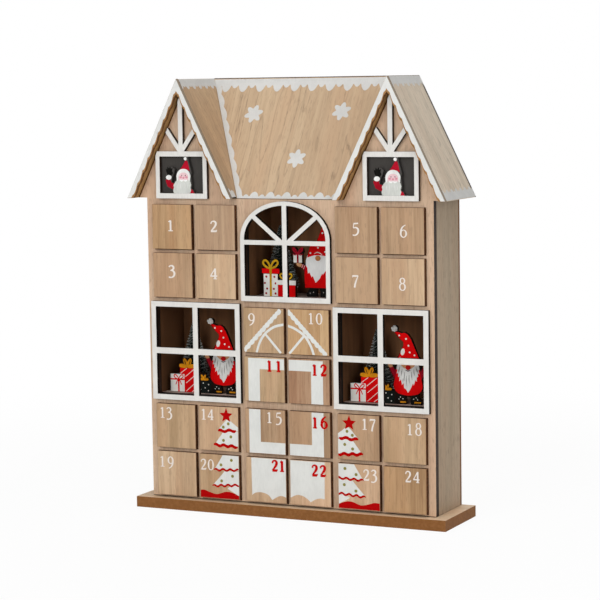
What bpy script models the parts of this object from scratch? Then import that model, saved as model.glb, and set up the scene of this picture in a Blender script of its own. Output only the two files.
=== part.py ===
"""Refillable wooden advent calendar: a gabled house with 24 pull-out drawers.

Metres, +Z up, the viewer in front at -Y. The origin is the middle of the footprint at the underside of
the base. The pieces are laid out from the front face of the facade, where the house empty has its y = 0,
and that empty carries them to the origin.
"""
import math

import bmesh
import bpy
from mathutils import Vector

# Stock and fits
BOARD = 0.004
BACK_BOARD = 0.003
ROOF_BOARD = 0.005
FIGURE_BOARD = 0.003
GAP = 0.0003
INSET_SEED = 0.0001
CUT_TOLERANCE = 0.0000001

# Drawer slots, drawer fronts and the strips between them
SLOT_WIDTH = 0.039
SLOT_HEIGHT = 0.039
LIP_SIDE = 0.0009
LIP_TOP = 0.0011
PAIR_GAP_X = 0.004
PAIR_GAP_Z = 0.0036
GROUP_GAP_X = 0.0074
GROUP_GAP_Z = 0.007
FRONT_WIDTH = SLOT_WIDTH + 2 * LIP_SIDE
FRONT_HEIGHT = SLOT_HEIGHT + 2 * LIP_TOP
COLUMN_PITCH = FRONT_WIDTH + PAIR_GAP_X
ROW_PITCH = FRONT_HEIGHT + PAIR_GAP_Z
GROUP_PITCH_X = COLUMN_PITCH + FRONT_WIDTH + GROUP_GAP_X
GROUP_PITCH_Z = ROW_PITCH + FRONT_HEIGHT + GROUP_GAP_Z

# The number on each drawer, row by row from the top; 0 is a place taken by a window
DRAWER_ROWS = (
    (1, 2, 0, 0, 5, 6),
    (3, 4, 0, 0, 7, 8),
    (0, 0, 9, 10, 0, 0),
    (0, 0, 11, 12, 0, 0),
    (13, 14, 15, 16, 17, 18),
    (19, 20, 21, 22, 23, 24),
)
ROOM_ROW_INDEX = 3

# Drawer trays
TRAY_WALL = 0.0025
TRAY_HEADROOM = 0.0047
TRAY_BACK_PLAY = 0.0007

# Carcass
SIDE_MARGIN = 0.0075
CELL_DEPTH = 0.0539
HOUSE_HALF = GROUP_PITCH_X + (COLUMN_PITCH + FRONT_WIDTH) / 2 + SIDE_MARGIN
BASE_THICKNESS = 0.010
BASE_STEP = 0.0037
ATTIC_STEP = 0.0027
BASE_SIDE_REACH = 0.0127
BASE_FRONT_REACH = 0.0102
BASE_BACK_REACH = 0.0021
WALL_FOOT = BASE_THICKNESS + GAP
FLOOR_Z = BASE_THICKNESS + BASE_STEP
GRID_MIDDLE_Z = FLOOR_Z + SLOT_HEIGHT / 2 + GROUP_PITCH_Z + ROW_PITCH / 2
INSIDE_FRONT = BOARD + GAP
INSIDE_BACK = INSIDE_FRONT + CELL_DEPTH
INSIDE_HALF = HOUSE_HALF - BOARD
BACK_PANEL_FRONT = INSIDE_BACK + GAP
HOUSE_BACK = BACK_PANEL_FRONT + BACK_BOARD
LAP_Y = (INSIDE_FRONT + INSIDE_BACK) / 2
TRIM_FRONT = -GAP - BOARD

# Side windows
WINDOW_MARGIN_X = 0.0033
WINDOW_MARGIN_Z = 0.0029
WINDOW_BAR = 0.0048
WINDOW_MULLION = 0.0052
WINDOW_TRANSOM = 0.0056
REVEAL = 0.001
WINDOW_HALF_X = (COLUMN_PITCH + FRONT_WIDTH) / 2 + WINDOW_MARGIN_X
WINDOW_HALF_Z = (ROW_PITCH + FRONT_HEIGHT) / 2 + WINDOW_MARGIN_Z

# Arched window
ARCH_MARGIN_X = 0.0021
ARCH_MARGIN_FOOT = 0.0012
ARCH_SIDE_BAR = 0.0041
ARCH_TOP_BAR = 0.0038
ARCH_SILL = 0.0048
ARCH_RISE = 0.0344
ARCH_TRANSOM = 0.0042
ARCH_TRANSOM_DROP = 0.001
ARCH_MULLION = 0.0046
FAN_BAR = 0.0042
FAN_HUB_DROP = 0.0055
FAN_ANGLE = math.radians(39.6)
ARCH_STEPS = 24
PANE_STEPS = 7
ARCH_HALF = (COLUMN_PITCH + FRONT_WIDTH) / 2 + ARCH_MARGIN_X
ARCH_FLOOR_Z = GRID_MIDDLE_Z + GROUP_PITCH_Z - ROW_PITCH / 2 - SLOT_HEIGHT / 2
ARCH_FOOT_Z = GRID_MIDDLE_Z + GROUP_PITCH_Z - (ROW_PITCH + FRONT_HEIGHT) / 2 - ARCH_MARGIN_FOOT
ATTIC_Z = GRID_MIDDLE_Z + GROUP_PITCH_Z + (ROW_PITCH + SLOT_HEIGHT) / 2 + ATTIC_STEP
ARCH_SPRING_Z = ATTIC_Z - GAP - REVEAL + ARCH_TOP_BAR - ARCH_RISE
FACADE_TOP_Z = ATTIC_Z + BOARD

# Roof: two front gables, each a ridge along Y, and one board that slopes up to the back between them
EAVE_Z = FACADE_TOP_Z + GAP
EAVE_OVERHANG = 0.015
GABLE_HALF_SPAN = 0.0538
ROOF_RISE = 0.1093
BARGE_REACH = 0.0107
ROOF_BACK_REACH = 0.0028
MAIN_FOOT_Y = 0.002
BARGE_WIDTH = 0.0049
SCALLOP_DEPTH = 0.0011
SCALLOP_COUNT = 8.5
SCALLOP_STEPS = 4
GABLE_X = HOUSE_HALF + EAVE_OVERHANG - GABLE_HALF_SPAN
APEX_Z = EAVE_Z + ROOF_RISE
GABLE_SLOPE = ROOF_RISE / GABLE_HALF_SPAN
GABLE_STRETCH = math.hypot(1, GABLE_SLOPE)
ROOF_FRONT = BOARD - BARGE_REACH + GAP
ROOF_BACK = HOUSE_BACK + ROOF_BACK_REACH
MAIN_SLOPE = ROOF_RISE / (ROOF_BACK - MAIN_FOOT_Y)
MAIN_STRETCH = math.hypot(1, MAIN_SLOPE)

# Dormer frames
DORMER_WIDTH = 0.0532
DORMER_HEIGHT = 0.0433
DORMER_BAR = 0.0047
DORMER_SIDE_BAR = 0.0041
DORMER_LIFT = 0.0056
POST_WIDTH = 0.0045
BRACE_WIDTH = 0.0042
BRACE_SETBACK = 0.0029
BRACE_FOOT_DROP = 0.001
DORMER_PLAY = 0.002
BRACE_ANGLE = math.radians(54.7)
DORMER_FOOT_Z = GRID_MIDDLE_Z + GROUP_PITCH_Z + (ROW_PITCH + FRONT_HEIGHT) / 2 + DORMER_LIFT

# The waving half figure in a dormer: its left and right edges from the sill up to the top bar, in
# 45ths of the opening's width and 34ths of its height
DORMER_GRID_X = 45
DORMER_GRID_Z = 34
HALF_FIGURE_LEFT_SHARES = (
    (16.0, 0), (15.2, 2.6), (13.2, 3.5), (8.0, 6.0), (6.0, 11.0), (6.2, 15.0), (7.8, 20.0), (9.6, 23.7),
    (13.0, 24.3), (16.1, 22.6), (15.0, 18.4), (13.2, 15.0), (12.3, 10.2), (14.9, 8.4), (18.6, 12.7),
    (18.9, 19.8), (20.8, 21.8), (24.1, 23.2), (27.2, 29.3), (26.1, 31.4), (26.6, 34),
)
HALF_FIGURE_RIGHT_SHARES = (
    (36.2, 0), (35.0, 2.9), (32.9, 4.2), (33.6, 7.2), (33.3, 12.5), (32.4, 16.6), (33.5, 19.3),
    (33.0, 21.6), (30.6, 29.6), (30.3, 31.6), (29.8, 34),
)

# Cut-out figures in the window rooms, drawn from the room's floor up, in 71sts of the gnome's height
GNOME_HEIGHT = 0.071
GNOME_GRID = 71
SET_Y = 0.017
ARCH_GNOME_Y = 0.024
ARCH_GNOME_X = 0.020
SIDE_SET_SHARES = (
    (-39.2, 0), (-39.2, 17.2), (-28.9, 17.2), (-28.9, 23.1), (-30.4, 23.6), (-30.2, 26.2), (-26.4, 26.4),
    (-27.0, 29.5), (-25.4, 31.8), (-23.2, 31.4), (-21.8, 28.4), (-20.2, 31.8), (-17.9, 31.4), (-17.2, 29.0),
    (-18.0, 26.4), (-13.4, 26.2), (-13.2, 23.6), (-11.5, 23.1), (-11.5, 11.8), (-9.2, 11.8), (-9.6, 14.6),
    (-6.6, 14.9), (-7.6, 17.6), (-6.4, 19.5), (-4.3, 17.2), (-2.2, 19.5), (-1.0, 17.6), (-1.8, 14.9),
    (1.0, 14.6), (0.6, 11.8), (4.2, 11.8), (3.2, 16.5), (4.3, 22.5), (1.4, 27.5), (-1.4, 33.0), (-2.2, 36.2),
    (-0.2, 37.6), (2.0, 36.0), (3.6, 32.5), (5.5, 36.0), (6.8, 40.2), (5.8, 41.5), (8.2, 43.5), (13.0, 53.0),
    (12.9, 56.2), (9.9, 58.5), (7.0, 61.5), (4.6, 64.9), (3.0, 65.7), (2.0, 67.9), (2.9, 70.2), (5.0, 71.0),
    (7.1, 70.2), (8.0, 67.9), (7.4, 66.1), (11.4, 64.4), (14.9, 64.8), (17.9, 63.2), (20.8, 59.0),
    (23.3, 53.5), (27.0, 43.5), (29.0, 41.5), (28.0, 40.2), (29.3, 36.0), (31.2, 32.5), (32.8, 36.0),
    (35.0, 37.6), (37.0, 36.2), (36.2, 33.0), (33.4, 27.5), (30.6, 22.5), (31.7, 16.5), (30.8, 13.0),
    (26.9, 9.8), (27.4, 6.5), (30.3, 3.5), (29.8, 0), (19.6, 0), (19.6, 4.5), (20.9, 8.2), (17.4, 7.6),
    (13.9, 8.2), (15.2, 4.5), (15.2, 0),
)
ARCH_GIFTS_SHARES = (
    (-32.4, 0), (-32.4, 20.9), (-34.1, 20.9), (-34.1, 26.0), (-27.0, 26.0), (-31.0, 28.0), (-32.6, 30.4),
    (-31.6, 32.6), (-29.0, 33.1), (-26.6, 31.6), (-25.0, 28.6), (-23.4, 31.6), (-21.0, 33.1), (-18.4, 32.6),
    (-17.4, 30.4), (-19.0, 28.0), (-23.0, 26.0), (-15.7, 26.0), (-15.7, 20.9), (-17.6, 20.9), (-17.6, 15.6),
    (-12.6, 15.6), (-15.0, 18.2), (-15.2, 20.4), (-13.2, 21.6), (-10.9, 20.2), (-9.3, 17.4), (-7.7, 20.2),
    (-5.4, 21.6), (-3.4, 20.4), (-3.6, 18.2), (-6.0, 15.6), (0.9, 15.6), (0.9, 10.9), (0.2, 10.9), (0.2, 0),
)
BOW_HOLE_SHARES = ((-29.1, 30.1), (-20.9, 30.1))
BOW_HOLE_RADIUS_SHARE = 1.5
BOW_HOLE_SIDES = 6
ARCH_GNOME_SHARES = (
    (-11.7, 0), (-12.2, 3.2), (-9.6, 6.6), (-9.4, 8.0), (-13.7, 8.2), (-14.3, 16.0), (-14.1, 22.5),
    (-15.0, 24.7), (-18.6, 26.9), (-21.6, 28.2), (-22.0, 30.8), (-25.2, 30.8), (-25.2, 38.9), (-26.3, 40.8),
    (-25.6, 44.0), (-23.0, 44.9), (-20.5, 42.2), (-18.0, 44.9), (-15.2, 44.2), (-14.6, 40.8), (-15.9, 38.9),
    (-15.9, 31.2), (-14.0, 29.6), (-12.7, 31.2), (-12.9, 33.8), (-11.6, 35.6), (-9.6, 41.0), (-8.1, 46.3),
    (-4.0, 49.0), (-0.8, 51.8), (1.7, 57.5), (4.2, 63.8), (6.4, 69.4), (8.0, 70.8), (9.6, 69.4), (10.8, 62.0),
    (11.8, 50.0), (11.6, 35.6), (12.9, 33.8), (12.9, 27.6), (16.0, 24.4), (15.6, 19.8), (14.3, 17.4),
    (13.7, 8.2), (9.4, 8.0), (9.6, 6.6), (12.2, 3.2), (11.7, 0), (1.9, 0), (1.9, 4.6), (1.2, 7.6),
    (-1.2, 7.6), (-1.9, 4.6), (-1.9, 0),
)

# Bottle-brush trees
TREE_HEIGHT = 0.064
TREE_STRAND_RADIUS = 0.0178
TREE_FOOT_RADIUS = 0.008
TREE_FOOT_HEIGHT = 0.004
TREE_STEM_RADIUS = 0.0014
TREE_STEM_HEIGHT = 0.004
TREE_CORE_RADIUS = 0.0034
TREE_TIP_RADIUS = 0.0007
TREE_TIP_STRAND_RADIUS = 0.0022
TREE_STRAND_LIFT_HEIGHT = 0.0012
TREE_ROUNDS = 14
TREE_SIDES = 18
TREE_TURN_ANGLE = 0.12
TREE_Y = 0.0396
LEFT_TREE_X = -0.0252
RIGHT_TREE_X = -0.022
ARCH_TREE_X = -0.025

for old in list(bpy.data.objects):
    bpy.data.objects.remove(old, do_unlink=True)

HOUSE = bpy.data.objects.new("house_origin", None)
HOUSE.location = (0, (BARGE_REACH - ROOF_BACK) / 2, 0)
bpy.context.scene.collection.objects.link(HOUSE)


def finish(name, color, roughness):
    """A plain Principled material."""
    material = bpy.data.materials.new(name)
    material.use_nodes = True
    shader = material.node_tree.nodes["Principled BSDF"]
    shader.inputs["Base Color"].default_value = (*color, 1.0)
    shader.inputs["Roughness"].default_value = roughness
    shader.inputs["Metallic"].default_value = 0.0
    return material


VENEER = finish("facade_veneer", (0.53, 0.35, 0.23), 0.6)
FRONTS = finish("drawer_veneer", (0.47, 0.32, 0.19), 0.6)
ROOF_WOOD = finish("roof_veneer", (0.50, 0.35, 0.21), 0.6)
INNER = finish("dark_inner_board", (0.06, 0.035, 0.02), 0.8)
WHITE = finish("white_trim_paint", (0.82, 0.80, 0.76), 0.5)
PRINT = finish("printed_figure", (0.55, 0.05, 0.05), 0.5)
BRUSH = finish("tree_bristle", (0.05, 0.12, 0.08), 0.8)

FRONT = "front"
LEVEL = "level"
UPRIGHT = "upright"
LAYS = {
    FRONT: lambda u, v, w: (u, w, v),
    LEVEL: lambda u, v, w: (u, v, w),
    UPRIGHT: lambda u, v, w: (w, u, v),
}


def add_object(name, mesh, material, place=(0, 0, 0)):
    """Link one named piece under the house empty."""
    if not mesh.materials:
        mesh.materials.append(material)
    piece = bpy.data.objects.new(name, mesh)
    piece.location = place
    piece.parent = HOUSE
    bpy.context.scene.collection.objects.link(piece)
    return piece


def finished_mesh(name, bm):
    """Turn a closed bmesh into mesh data with its faces pointing out."""
    bmesh.ops.recalc_face_normals(bm, faces=bm.faces)
    mesh = bpy.data.meshes.new(name)
    bm.to_mesh(mesh)
    bm.free()
    return mesh


def plate(loops, thickness, lay):
    """A flat board as a bmesh: closed outlines, the first outside and the rest holes, given a thickness."""
    bm = bmesh.new()
    edges = []
    for loop in loops:
        corners = [bm.verts.new(LAYS[lay](u, v, 0)) for u, v in loop]
        edges += [bm.edges.new((corners[i - 1], corners[i])) for i in range(len(corners))]
    bmesh.ops.triangle_fill(bm, edges=edges, use_beauty=True, use_dissolve=False)
    grown = bmesh.ops.extrude_face_region(bm, geom=bm.faces[:])["geom"]
    moved = [item for item in grown if isinstance(item, bmesh.types.BMVert)]
    bmesh.ops.translate(bm, verts=moved, vec=LAYS[lay](0, 0, thickness))
    return bm


def trim(bm, point, outward):
    """Cut away what lies beyond a plane and close the cut."""
    everything = bm.verts[:] + bm.edges[:] + bm.faces[:]
    bmesh.ops.bisect_plane(
        bm, geom=everything, dist=CUT_TOLERANCE, plane_co=point, plane_no=outward, clear_outer=True
    )
    bmesh.ops.holes_fill(bm, edges=[edge for edge in bm.edges if edge.is_boundary], sides=0)


def box(low, high):
    """A box between two corners, as a bmesh."""
    bm = bmesh.new()
    bmesh.ops.create_cube(bm, size=1)
    for vert in bm.verts:
        vert.co = [high[k] if vert.co[k] > 0 else low[k] for k in range(3)]
    return bm


def face_towards(bm, direction):
    """The face of a box whose normal points along a direction."""
    bm.normal_update()
    return max(bm.faces, key=lambda face: face.normal.dot(Vector(direction)))


def step_face(bm, face, low, high, lift):
    """Mark a smaller rectangle on a box face and push it in or out by lift."""
    normal = face.normal.copy()
    middle = face.calc_center_median()
    bmesh.ops.inset_individual(bm, faces=[face], thickness=INSET_SEED)
    for vert in face.verts:
        for k in range(3):
            if abs(normal[k]) < 0.5:
                vert.co[k] = high[k] if vert.co[k] > middle[k] else low[k]
    pushed = bmesh.ops.extrude_discrete_faces(bm, faces=[face])["faces"][0]
    bmesh.ops.translate(bm, verts=pushed.verts, vec=normal * lift)
    return pushed


def rectangle(left, right, bottom, top):
    """Corners of a rectangle, anticlockwise."""
    return [(left, bottom), (right, bottom), (right, top), (left, top)]


def mirrored(half):
    """A closed outline from its right half, which runs from the bottom up."""
    return half + [(-u, v) for u, v in reversed(half)]


def drawn(shares, size, grid):
    """An outline drawn on a grid that divides a size."""
    return [(u * size / grid, v * size / grid) for u, v in shares]


def column_x(column):
    """Middle of a drawer column, 0 to 5 from the left."""
    return (column // 2 - 1) * GROUP_PITCH_X + (column % 2 - 0.5) * COLUMN_PITCH


def row_z(row):
    """Middle of a drawer row, 0 to 5 from the top."""
    return GRID_MIDDLE_Z + (1 - row // 2) * GROUP_PITCH_Z + (0.5 - row % 2) * ROW_PITCH


def slot_floor_z(row):
    """Lower edge of a row's slots, where the board under the trays has its top."""
    return row_z(row) - SLOT_HEIGHT / 2


def soffit_z(x, clearance):
    """Height under the gable boards at x, less a clearance square to them."""
    drop = (ROOF_BOARD + clearance) * GABLE_STRETCH
    return APEX_Z - abs(abs(x) - GABLE_X) * GABLE_SLOPE - drop


def soffit_x(z, clearance):
    """Distance from a gable's middle at which the soffit has a height."""
    return (soffit_z(GABLE_X, clearance) - z) / GABLE_SLOPE


def main_soffit_z(y, clearance):
    """Height under the main roof board at y, less a clearance square to it."""
    drop = (ROOF_BOARD + clearance) * MAIN_STRETCH
    return APEX_Z - (ROOF_BACK - y) * MAIN_SLOPE - drop


def ellipse_point(half, rise, angle):
    """A point on the arch's curve, its angle measured at the middle of the spring line."""
    return (half * math.cos(angle), ARCH_SPRING_Z + rise * math.sin(angle))


def ellipse_hit(point, direction, half, rise):
    """Curve angle at which a ray from inside the arch meets its curve."""
    px = point[0] / half
    pz = (point[1] - ARCH_SPRING_Z) / rise
    dx = direction[0] / half
    dz = direction[1] / rise
    a = dx * dx + dz * dz
    b = px * dx + pz * dz
    c = px * px + pz * pz - 1
    reach = (-b + math.sqrt(b * b - a * c)) / a
    return math.atan2(pz + reach * dz, px + reach * dx)


def make_base():
    """Base board with the raised step that the walls stand round."""
    half = HOUSE_HALF + BASE_SIDE_REACH
    bm = box((-half, -BASE_FRONT_REACH, 0), (half, HOUSE_BACK + BASE_BACK_REACH, BASE_THICKNESS))
    step_half = INSIDE_HALF - GAP
    low = (-step_half, INSIDE_FRONT, 0)
    high = (step_half, INSIDE_BACK, 0)
    step_face(bm, face_towards(bm, (0, 0, 1)), low, high, BASE_STEP)
    add_object("base_board", finished_mesh("base_board", bm), VENEER)


def facade_outline():
    """Facade from its foot up into both gables."""
    valley_x = GABLE_X - soffit_x(FACADE_TOP_Z, GAP)
    half = [
        (HOUSE_HALF, WALL_FOOT),
        (HOUSE_HALF, soffit_z(HOUSE_HALF, GAP)),
        (GABLE_X, soffit_z(GABLE_X, GAP)),
        (valley_x, FACADE_TOP_Z),
    ]
    return mirrored(half)


def arch_loop(half, rise, foot):
    """Arch-headed opening from its foot round its curve."""
    steps = range(ARCH_STEPS + 1)
    head = [ellipse_point(half, rise, math.pi * i / ARCH_STEPS) for i in steps]
    return [(-half, foot), (half, foot)] + head


def make_facade():
    """Front panel with a slot for each drawer and the three window openings."""
    loops = [facade_outline()]
    for row, numbers in enumerate(DRAWER_ROWS):
        for column, number in enumerate(numbers):
            if number:
                x = column_x(column)
                floor = slot_floor_z(row)
                half = SLOT_WIDTH / 2
                loops.append(rectangle(x - half, x + half, floor, floor + SLOT_HEIGHT))
    half_x = WINDOW_HALF_X - WINDOW_BAR + REVEAL
    top = GRID_MIDDLE_Z + WINDOW_HALF_Z - WINDOW_BAR + REVEAL
    for side in (-1, 1):
        x = side * GROUP_PITCH_X
        loops.append(rectangle(x - half_x, x + half_x, slot_floor_z(ROOM_ROW_INDEX), top))
    half = ARCH_HALF - ARCH_SIDE_BAR + REVEAL
    loops.append(arch_loop(half, ARCH_RISE - ARCH_TOP_BAR + REVEAL, ARCH_FLOOR_Z))
    bm = plate(loops, BOARD, FRONT)
    add_object("front_panel", finished_mesh("front_panel", bm), VENEER)


def make_side_walls():
    """Side walls, their tops bevelled to the gable boards."""
    outer = HOUSE_HALF
    for name, side in (("left_side_wall", -1), ("right_side_wall", 1)):
        profile = [
            (side * outer, WALL_FOOT),
            (side * INSIDE_HALF, WALL_FOOT),
            (side * INSIDE_HALF, soffit_z(INSIDE_HALF, GAP)),
            (side * outer, soffit_z(outer, GAP)),
        ]
        bm = plate([profile], CELL_DEPTH, FRONT)
        add_object(name, finished_mesh(name, bm), VENEER, (0, INSIDE_FRONT, 0))


def make_back_panel():
    """Back panel up to the underside of the roof, its top bevelled to the main roof board."""
    top = main_soffit_z(HOUSE_BACK, GAP)
    half = [
        (HOUSE_HALF, WALL_FOOT),
        (HOUSE_HALF, soffit_z(HOUSE_HALF, GAP)),
        (GABLE_X + soffit_x(top, GAP), top),
    ]
    bm = plate([mirrored(half)], BACK_BOARD, FRONT)
    trim(bm, (0, BACK_BOARD, top), (0, -MAIN_SLOPE, 1))
    place = (0, BACK_PANEL_FRONT, 0)
    add_object("back_panel", finished_mesh("back_panel", bm), INNER, place)


def comb_shelf(name, half, top, upright_xs):
    """A shelf with a slot from its front edge for each upright that it crosses."""
    slot_half = BOARD / 2 + GAP
    lap = LAP_Y + GAP / 2
    front = []
    for x in upright_xs:
        front += [(x - slot_half, INSIDE_FRONT), (x - slot_half, lap), (x + slot_half, lap)]
        front += [(x + slot_half, INSIDE_FRONT)]
    outline = [(-half, INSIDE_FRONT)] + front + [(half, INSIDE_FRONT), (half, INSIDE_BACK), (-half, INSIDE_BACK)]
    bm = plate([outline], BOARD, LEVEL)
    add_object(name, finished_mesh(name, bm), INNER, (0, 0, top - BOARD))


def comb_upright(name, x, low, high, shelf_tops):
    """An upright with a slot from its back edge for each shelf that it crosses."""
    lap = LAP_Y - GAP / 2
    back = []
    for top in shelf_tops:
        under = top - BOARD - GAP
        over = top + GAP
        back += [(INSIDE_BACK, under), (lap, under), (lap, over), (INSIDE_BACK, over)]
    outline = [(INSIDE_FRONT, low), (INSIDE_BACK, low)] + back + [(INSIDE_BACK, high), (INSIDE_FRONT, high)]
    bm = plate([outline], BOARD, UPRIGHT)
    add_object(name, finished_mesh(name, bm), INNER, (x - BOARD / 2, 0, 0))


def make_grid():
    """The slotted boards behind the facade."""
    main_x = GROUP_PITCH_X / 2
    shelf_half = INSIDE_HALF - GAP
    bottom = FLOOR_Z + GAP
    row5 = slot_floor_z(4)
    row4 = slot_floor_z(ROOM_ROW_INDEX)
    row3 = slot_floor_z(2)
    row2 = slot_floor_z(1)
    main_xs = (-main_x, main_x)
    low_xs = (-GROUP_PITCH_X, -main_x, 0, main_x, GROUP_PITCH_X)
    comb_shelf("shelf_under_row_5", shelf_half, row5, low_xs)
    comb_shelf("shelf_under_row_4", shelf_half, row4, (-main_x, 0, main_x))
    comb_shelf("shelf_under_row_2", shelf_half, row2, main_xs)
    comb_shelf("attic_floor", shelf_half, FACADE_TOP_Z, ())
    comb_shelf("middle_shelf", main_x - BOARD / 2 - GAP, row3, (0,))
    attic = ATTIC_Z - GAP
    comb_upright("left_main_upright", -main_x, bottom, attic, (row5, row4, row2))
    comb_upright("right_main_upright", main_x, bottom, attic, (row5, row4, row2))
    comb_upright("centre_upright", 0, bottom, row2 - BOARD - GAP, (row5, row4, row3))
    comb_upright("left_low_upright", -GROUP_PITCH_X, bottom, row4 - BOARD - GAP, (row5,))
    comb_upright("right_low_upright", GROUP_PITCH_X, bottom, row4 - BOARD - GAP, (row5,))
    make_partition("upper_left_partition", -1, row2 + GAP, attic)
    make_partition("upper_right_partition", 1, row2 + GAP, attic)


def make_partition(name, side, low, high):
    """The glued cross of one short shelf and one short upright beside the arched room."""
    x = side * GROUP_PITCH_X
    half = BOARD / 2
    left, right = sorted((side * (INSIDE_HALF - GAP), side * (GROUP_PITCH_X / 2 + half + GAP)))
    top = slot_floor_z(0)
    under = top - BOARD
    outline = [
        (x - half, low), (x + half, low), (x + half, under), (right, under), (right, top), (x + half, top),
        (x + half, high), (x - half, high), (x - half, top), (left, top), (left, under), (x - half, under),
    ]
    bm = plate([outline], CELL_DEPTH, FRONT)
    add_object(name, finished_mesh(name, bm), INNER, (0, INSIDE_FRONT, 0))


def add_board(name, profile, length, place, trims):
    """A sloping board, its profile run along Y from place and then trimmed by planes."""
    bm = plate([profile], length, FRONT)
    bmesh.ops.translate(bm, verts=bm.verts, vec=place)
    for point, outward in trims:
        trim(bm, point, outward)
    add_object(name, finished_mesh(name, bm), ROOF_WOOD)


def valley(side):
    """Foot of a valley and its mitre plane's normal, which points from the main board to the gable."""
    foot = Vector((side * (GABLE_X - GABLE_HALF_SPAN), MAIN_FOOT_Y, EAVE_Z))
    gable_up = Vector((-side * GABLE_SLOPE, 0, 1)).normalized()
    main_up = Vector((0, -MAIN_SLOPE, 1)).normalized()
    return foot, (main_up - gable_up).normalized()


def make_gable_boards():
    """Four gable boards, mitred at the ridges and cut level at the eaves, the inner two cut to the valleys."""
    thickness_z = ROOF_BOARD * GABLE_STRETCH
    ridge_x = GAP / 2
    ridge_z = APEX_Z - ridge_x * GABLE_SLOPE
    inside_eave_x = GABLE_HALF_SPAN - thickness_z / GABLE_SLOPE
    half = [
        (ridge_x, ridge_z),
        (GABLE_HALF_SPAN, EAVE_Z),
        (inside_eave_x, EAVE_Z),
        (ridge_x, ridge_z - thickness_z),
    ]
    place = (0, ROOF_FRONT, 0)
    length = ROOF_BACK - ROOF_FRONT
    for side, side_name in ((-1, "left"), (1, "right")):
        foot, normal = valley(side)
        mitre = (foot + normal * GAP / 2, -normal)
        outer = [(side * (GABLE_X + u), v) for u, v in half]
        inner = [(side * (GABLE_X - u), v) for u, v in half]
        add_board(side_name + "_gable_outer_board", outer, length, place, ())
        add_board(side_name + "_gable_inner_board", inner, length, place, (mitre,))


def make_main_roof():
    """The board between the gables: level foot, plumb back, its ends mitred to the two valleys."""
    thickness_z = ROOF_BOARD * MAIN_STRETCH
    profile = [
        (MAIN_FOOT_Y, EAVE_Z),
        (ROOF_BACK, APEX_Z),
        (ROOF_BACK, APEX_Z - thickness_z),
        (MAIN_FOOT_Y + thickness_z / MAIN_SLOPE, EAVE_Z),
    ]
    half = GABLE_X - GAP / 2
    bm = plate([profile], 2 * half, UPRIGHT)
    bmesh.ops.translate(bm, verts=bm.verts, vec=(-half, 0, 0))
    for side in (-1, 1):
        foot, normal = valley(side)
        trim(bm, foot - normal * GAP / 2, normal)
    add_object("main_roof_board", finished_mesh("main_roof_board", bm), ROOF_WOOD)


def make_bargeboards():
    """The boards on the gables' front edges, their inner edges scalloped."""
    span = (ROOF_RISE - BARGE_WIDTH * GABLE_STRETCH) / GABLE_SLOPE
    steps = int(SCALLOP_COUNT * SCALLOP_STEPS)
    inner = []
    for i in range(-steps, steps + 1):
        share = i / steps
        swell = abs(math.cos(math.pi * SCALLOP_COUNT * share))
        width = BARGE_WIDTH + SCALLOP_DEPTH * swell
        u = span * share
        inner.append((u, APEX_Z - abs(u) * GABLE_SLOPE - width * GABLE_STRETCH))
    outline = [(GABLE_HALF_SPAN, EAVE_Z), (0, APEX_Z), (-GABLE_HALF_SPAN, EAVE_Z)] + inner
    for name, side in (("left_bargeboard", -1), ("right_bargeboard", 1)):
        bm = plate([outline], BOARD, FRONT)
        place = (side * GABLE_X, -BARGE_REACH, 0)
        add_object(name, finished_mesh(name, bm), WHITE, place)


def make_drawers():
    """One drawer for each number, all of one mesh: a front and an open tray behind it."""
    half_x = FRONT_WIDTH / 2
    half_z = FRONT_HEIGHT / 2
    tray_x = SLOT_WIDTH / 2 - GAP
    tray_low = GAP - SLOT_HEIGHT / 2
    tray_high = SLOT_HEIGHT / 2 - TRAY_HEADROOM
    tray_end = INSIDE_BACK - TRAY_BACK_PLAY - TRIM_FRONT
    bm = box((-half_x, 0, -half_z), (half_x, BOARD, half_z))
    back = face_towards(bm, (0, 1, 0))
    step_face(bm, back, (-tray_x, 0, tray_low), (tray_x, 0, tray_high), tray_end - BOARD)
    open_top = max(bm.faces, key=lambda face: face.calc_center_median().y if face.normal.z > 0 else 0)
    low = (TRAY_WALL - tray_x, BOARD + TRAY_WALL, 0)
    high = (tray_x - TRAY_WALL, tray_end - TRAY_WALL, 0)
    step_face(bm, open_top, low, high, tray_low + TRAY_WALL - tray_high)
    mesh = finished_mesh("drawer", bm)
    for row, numbers in enumerate(DRAWER_ROWS):
        for column, number in enumerate(numbers):
            if number:
                place = (column_x(column), TRIM_FRONT, row_z(row))
                add_object(f"drawer_{number:02d}", mesh, FRONTS, place)


def make_window_frames():
    """The two square window frames with their crossed bars."""
    half_x = WINDOW_HALF_X
    half_z = WINDOW_HALF_Z
    outer = rectangle(-half_x, half_x, -half_z, half_z)
    panes = []
    for side_x in (-1, 1):
        for side_z in (-1, 1):
            left, right = sorted((side_x * WINDOW_MULLION / 2, side_x * (half_x - WINDOW_BAR)))
            low, high = sorted((side_z * WINDOW_TRANSOM / 2, side_z * (half_z - WINDOW_BAR)))
            panes.append(rectangle(left, right, low, high))
    for name, side in (("left_window_frame", -1), ("right_window_frame", 1)):
        bm = plate([outer] + panes, BOARD, FRONT)
        place = (side * GROUP_PITCH_X, TRIM_FRONT, GRID_MIDDLE_Z)
        add_object(name, finished_mesh(name, bm), WHITE, place)


def pane_curve(start, end, half, rise):
    """Points along the arch between two curve angles."""
    steps = range(PANE_STEPS + 1)
    return [ellipse_point(half, rise, start + (end - start) * i / PANE_STEPS) for i in steps]


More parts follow.
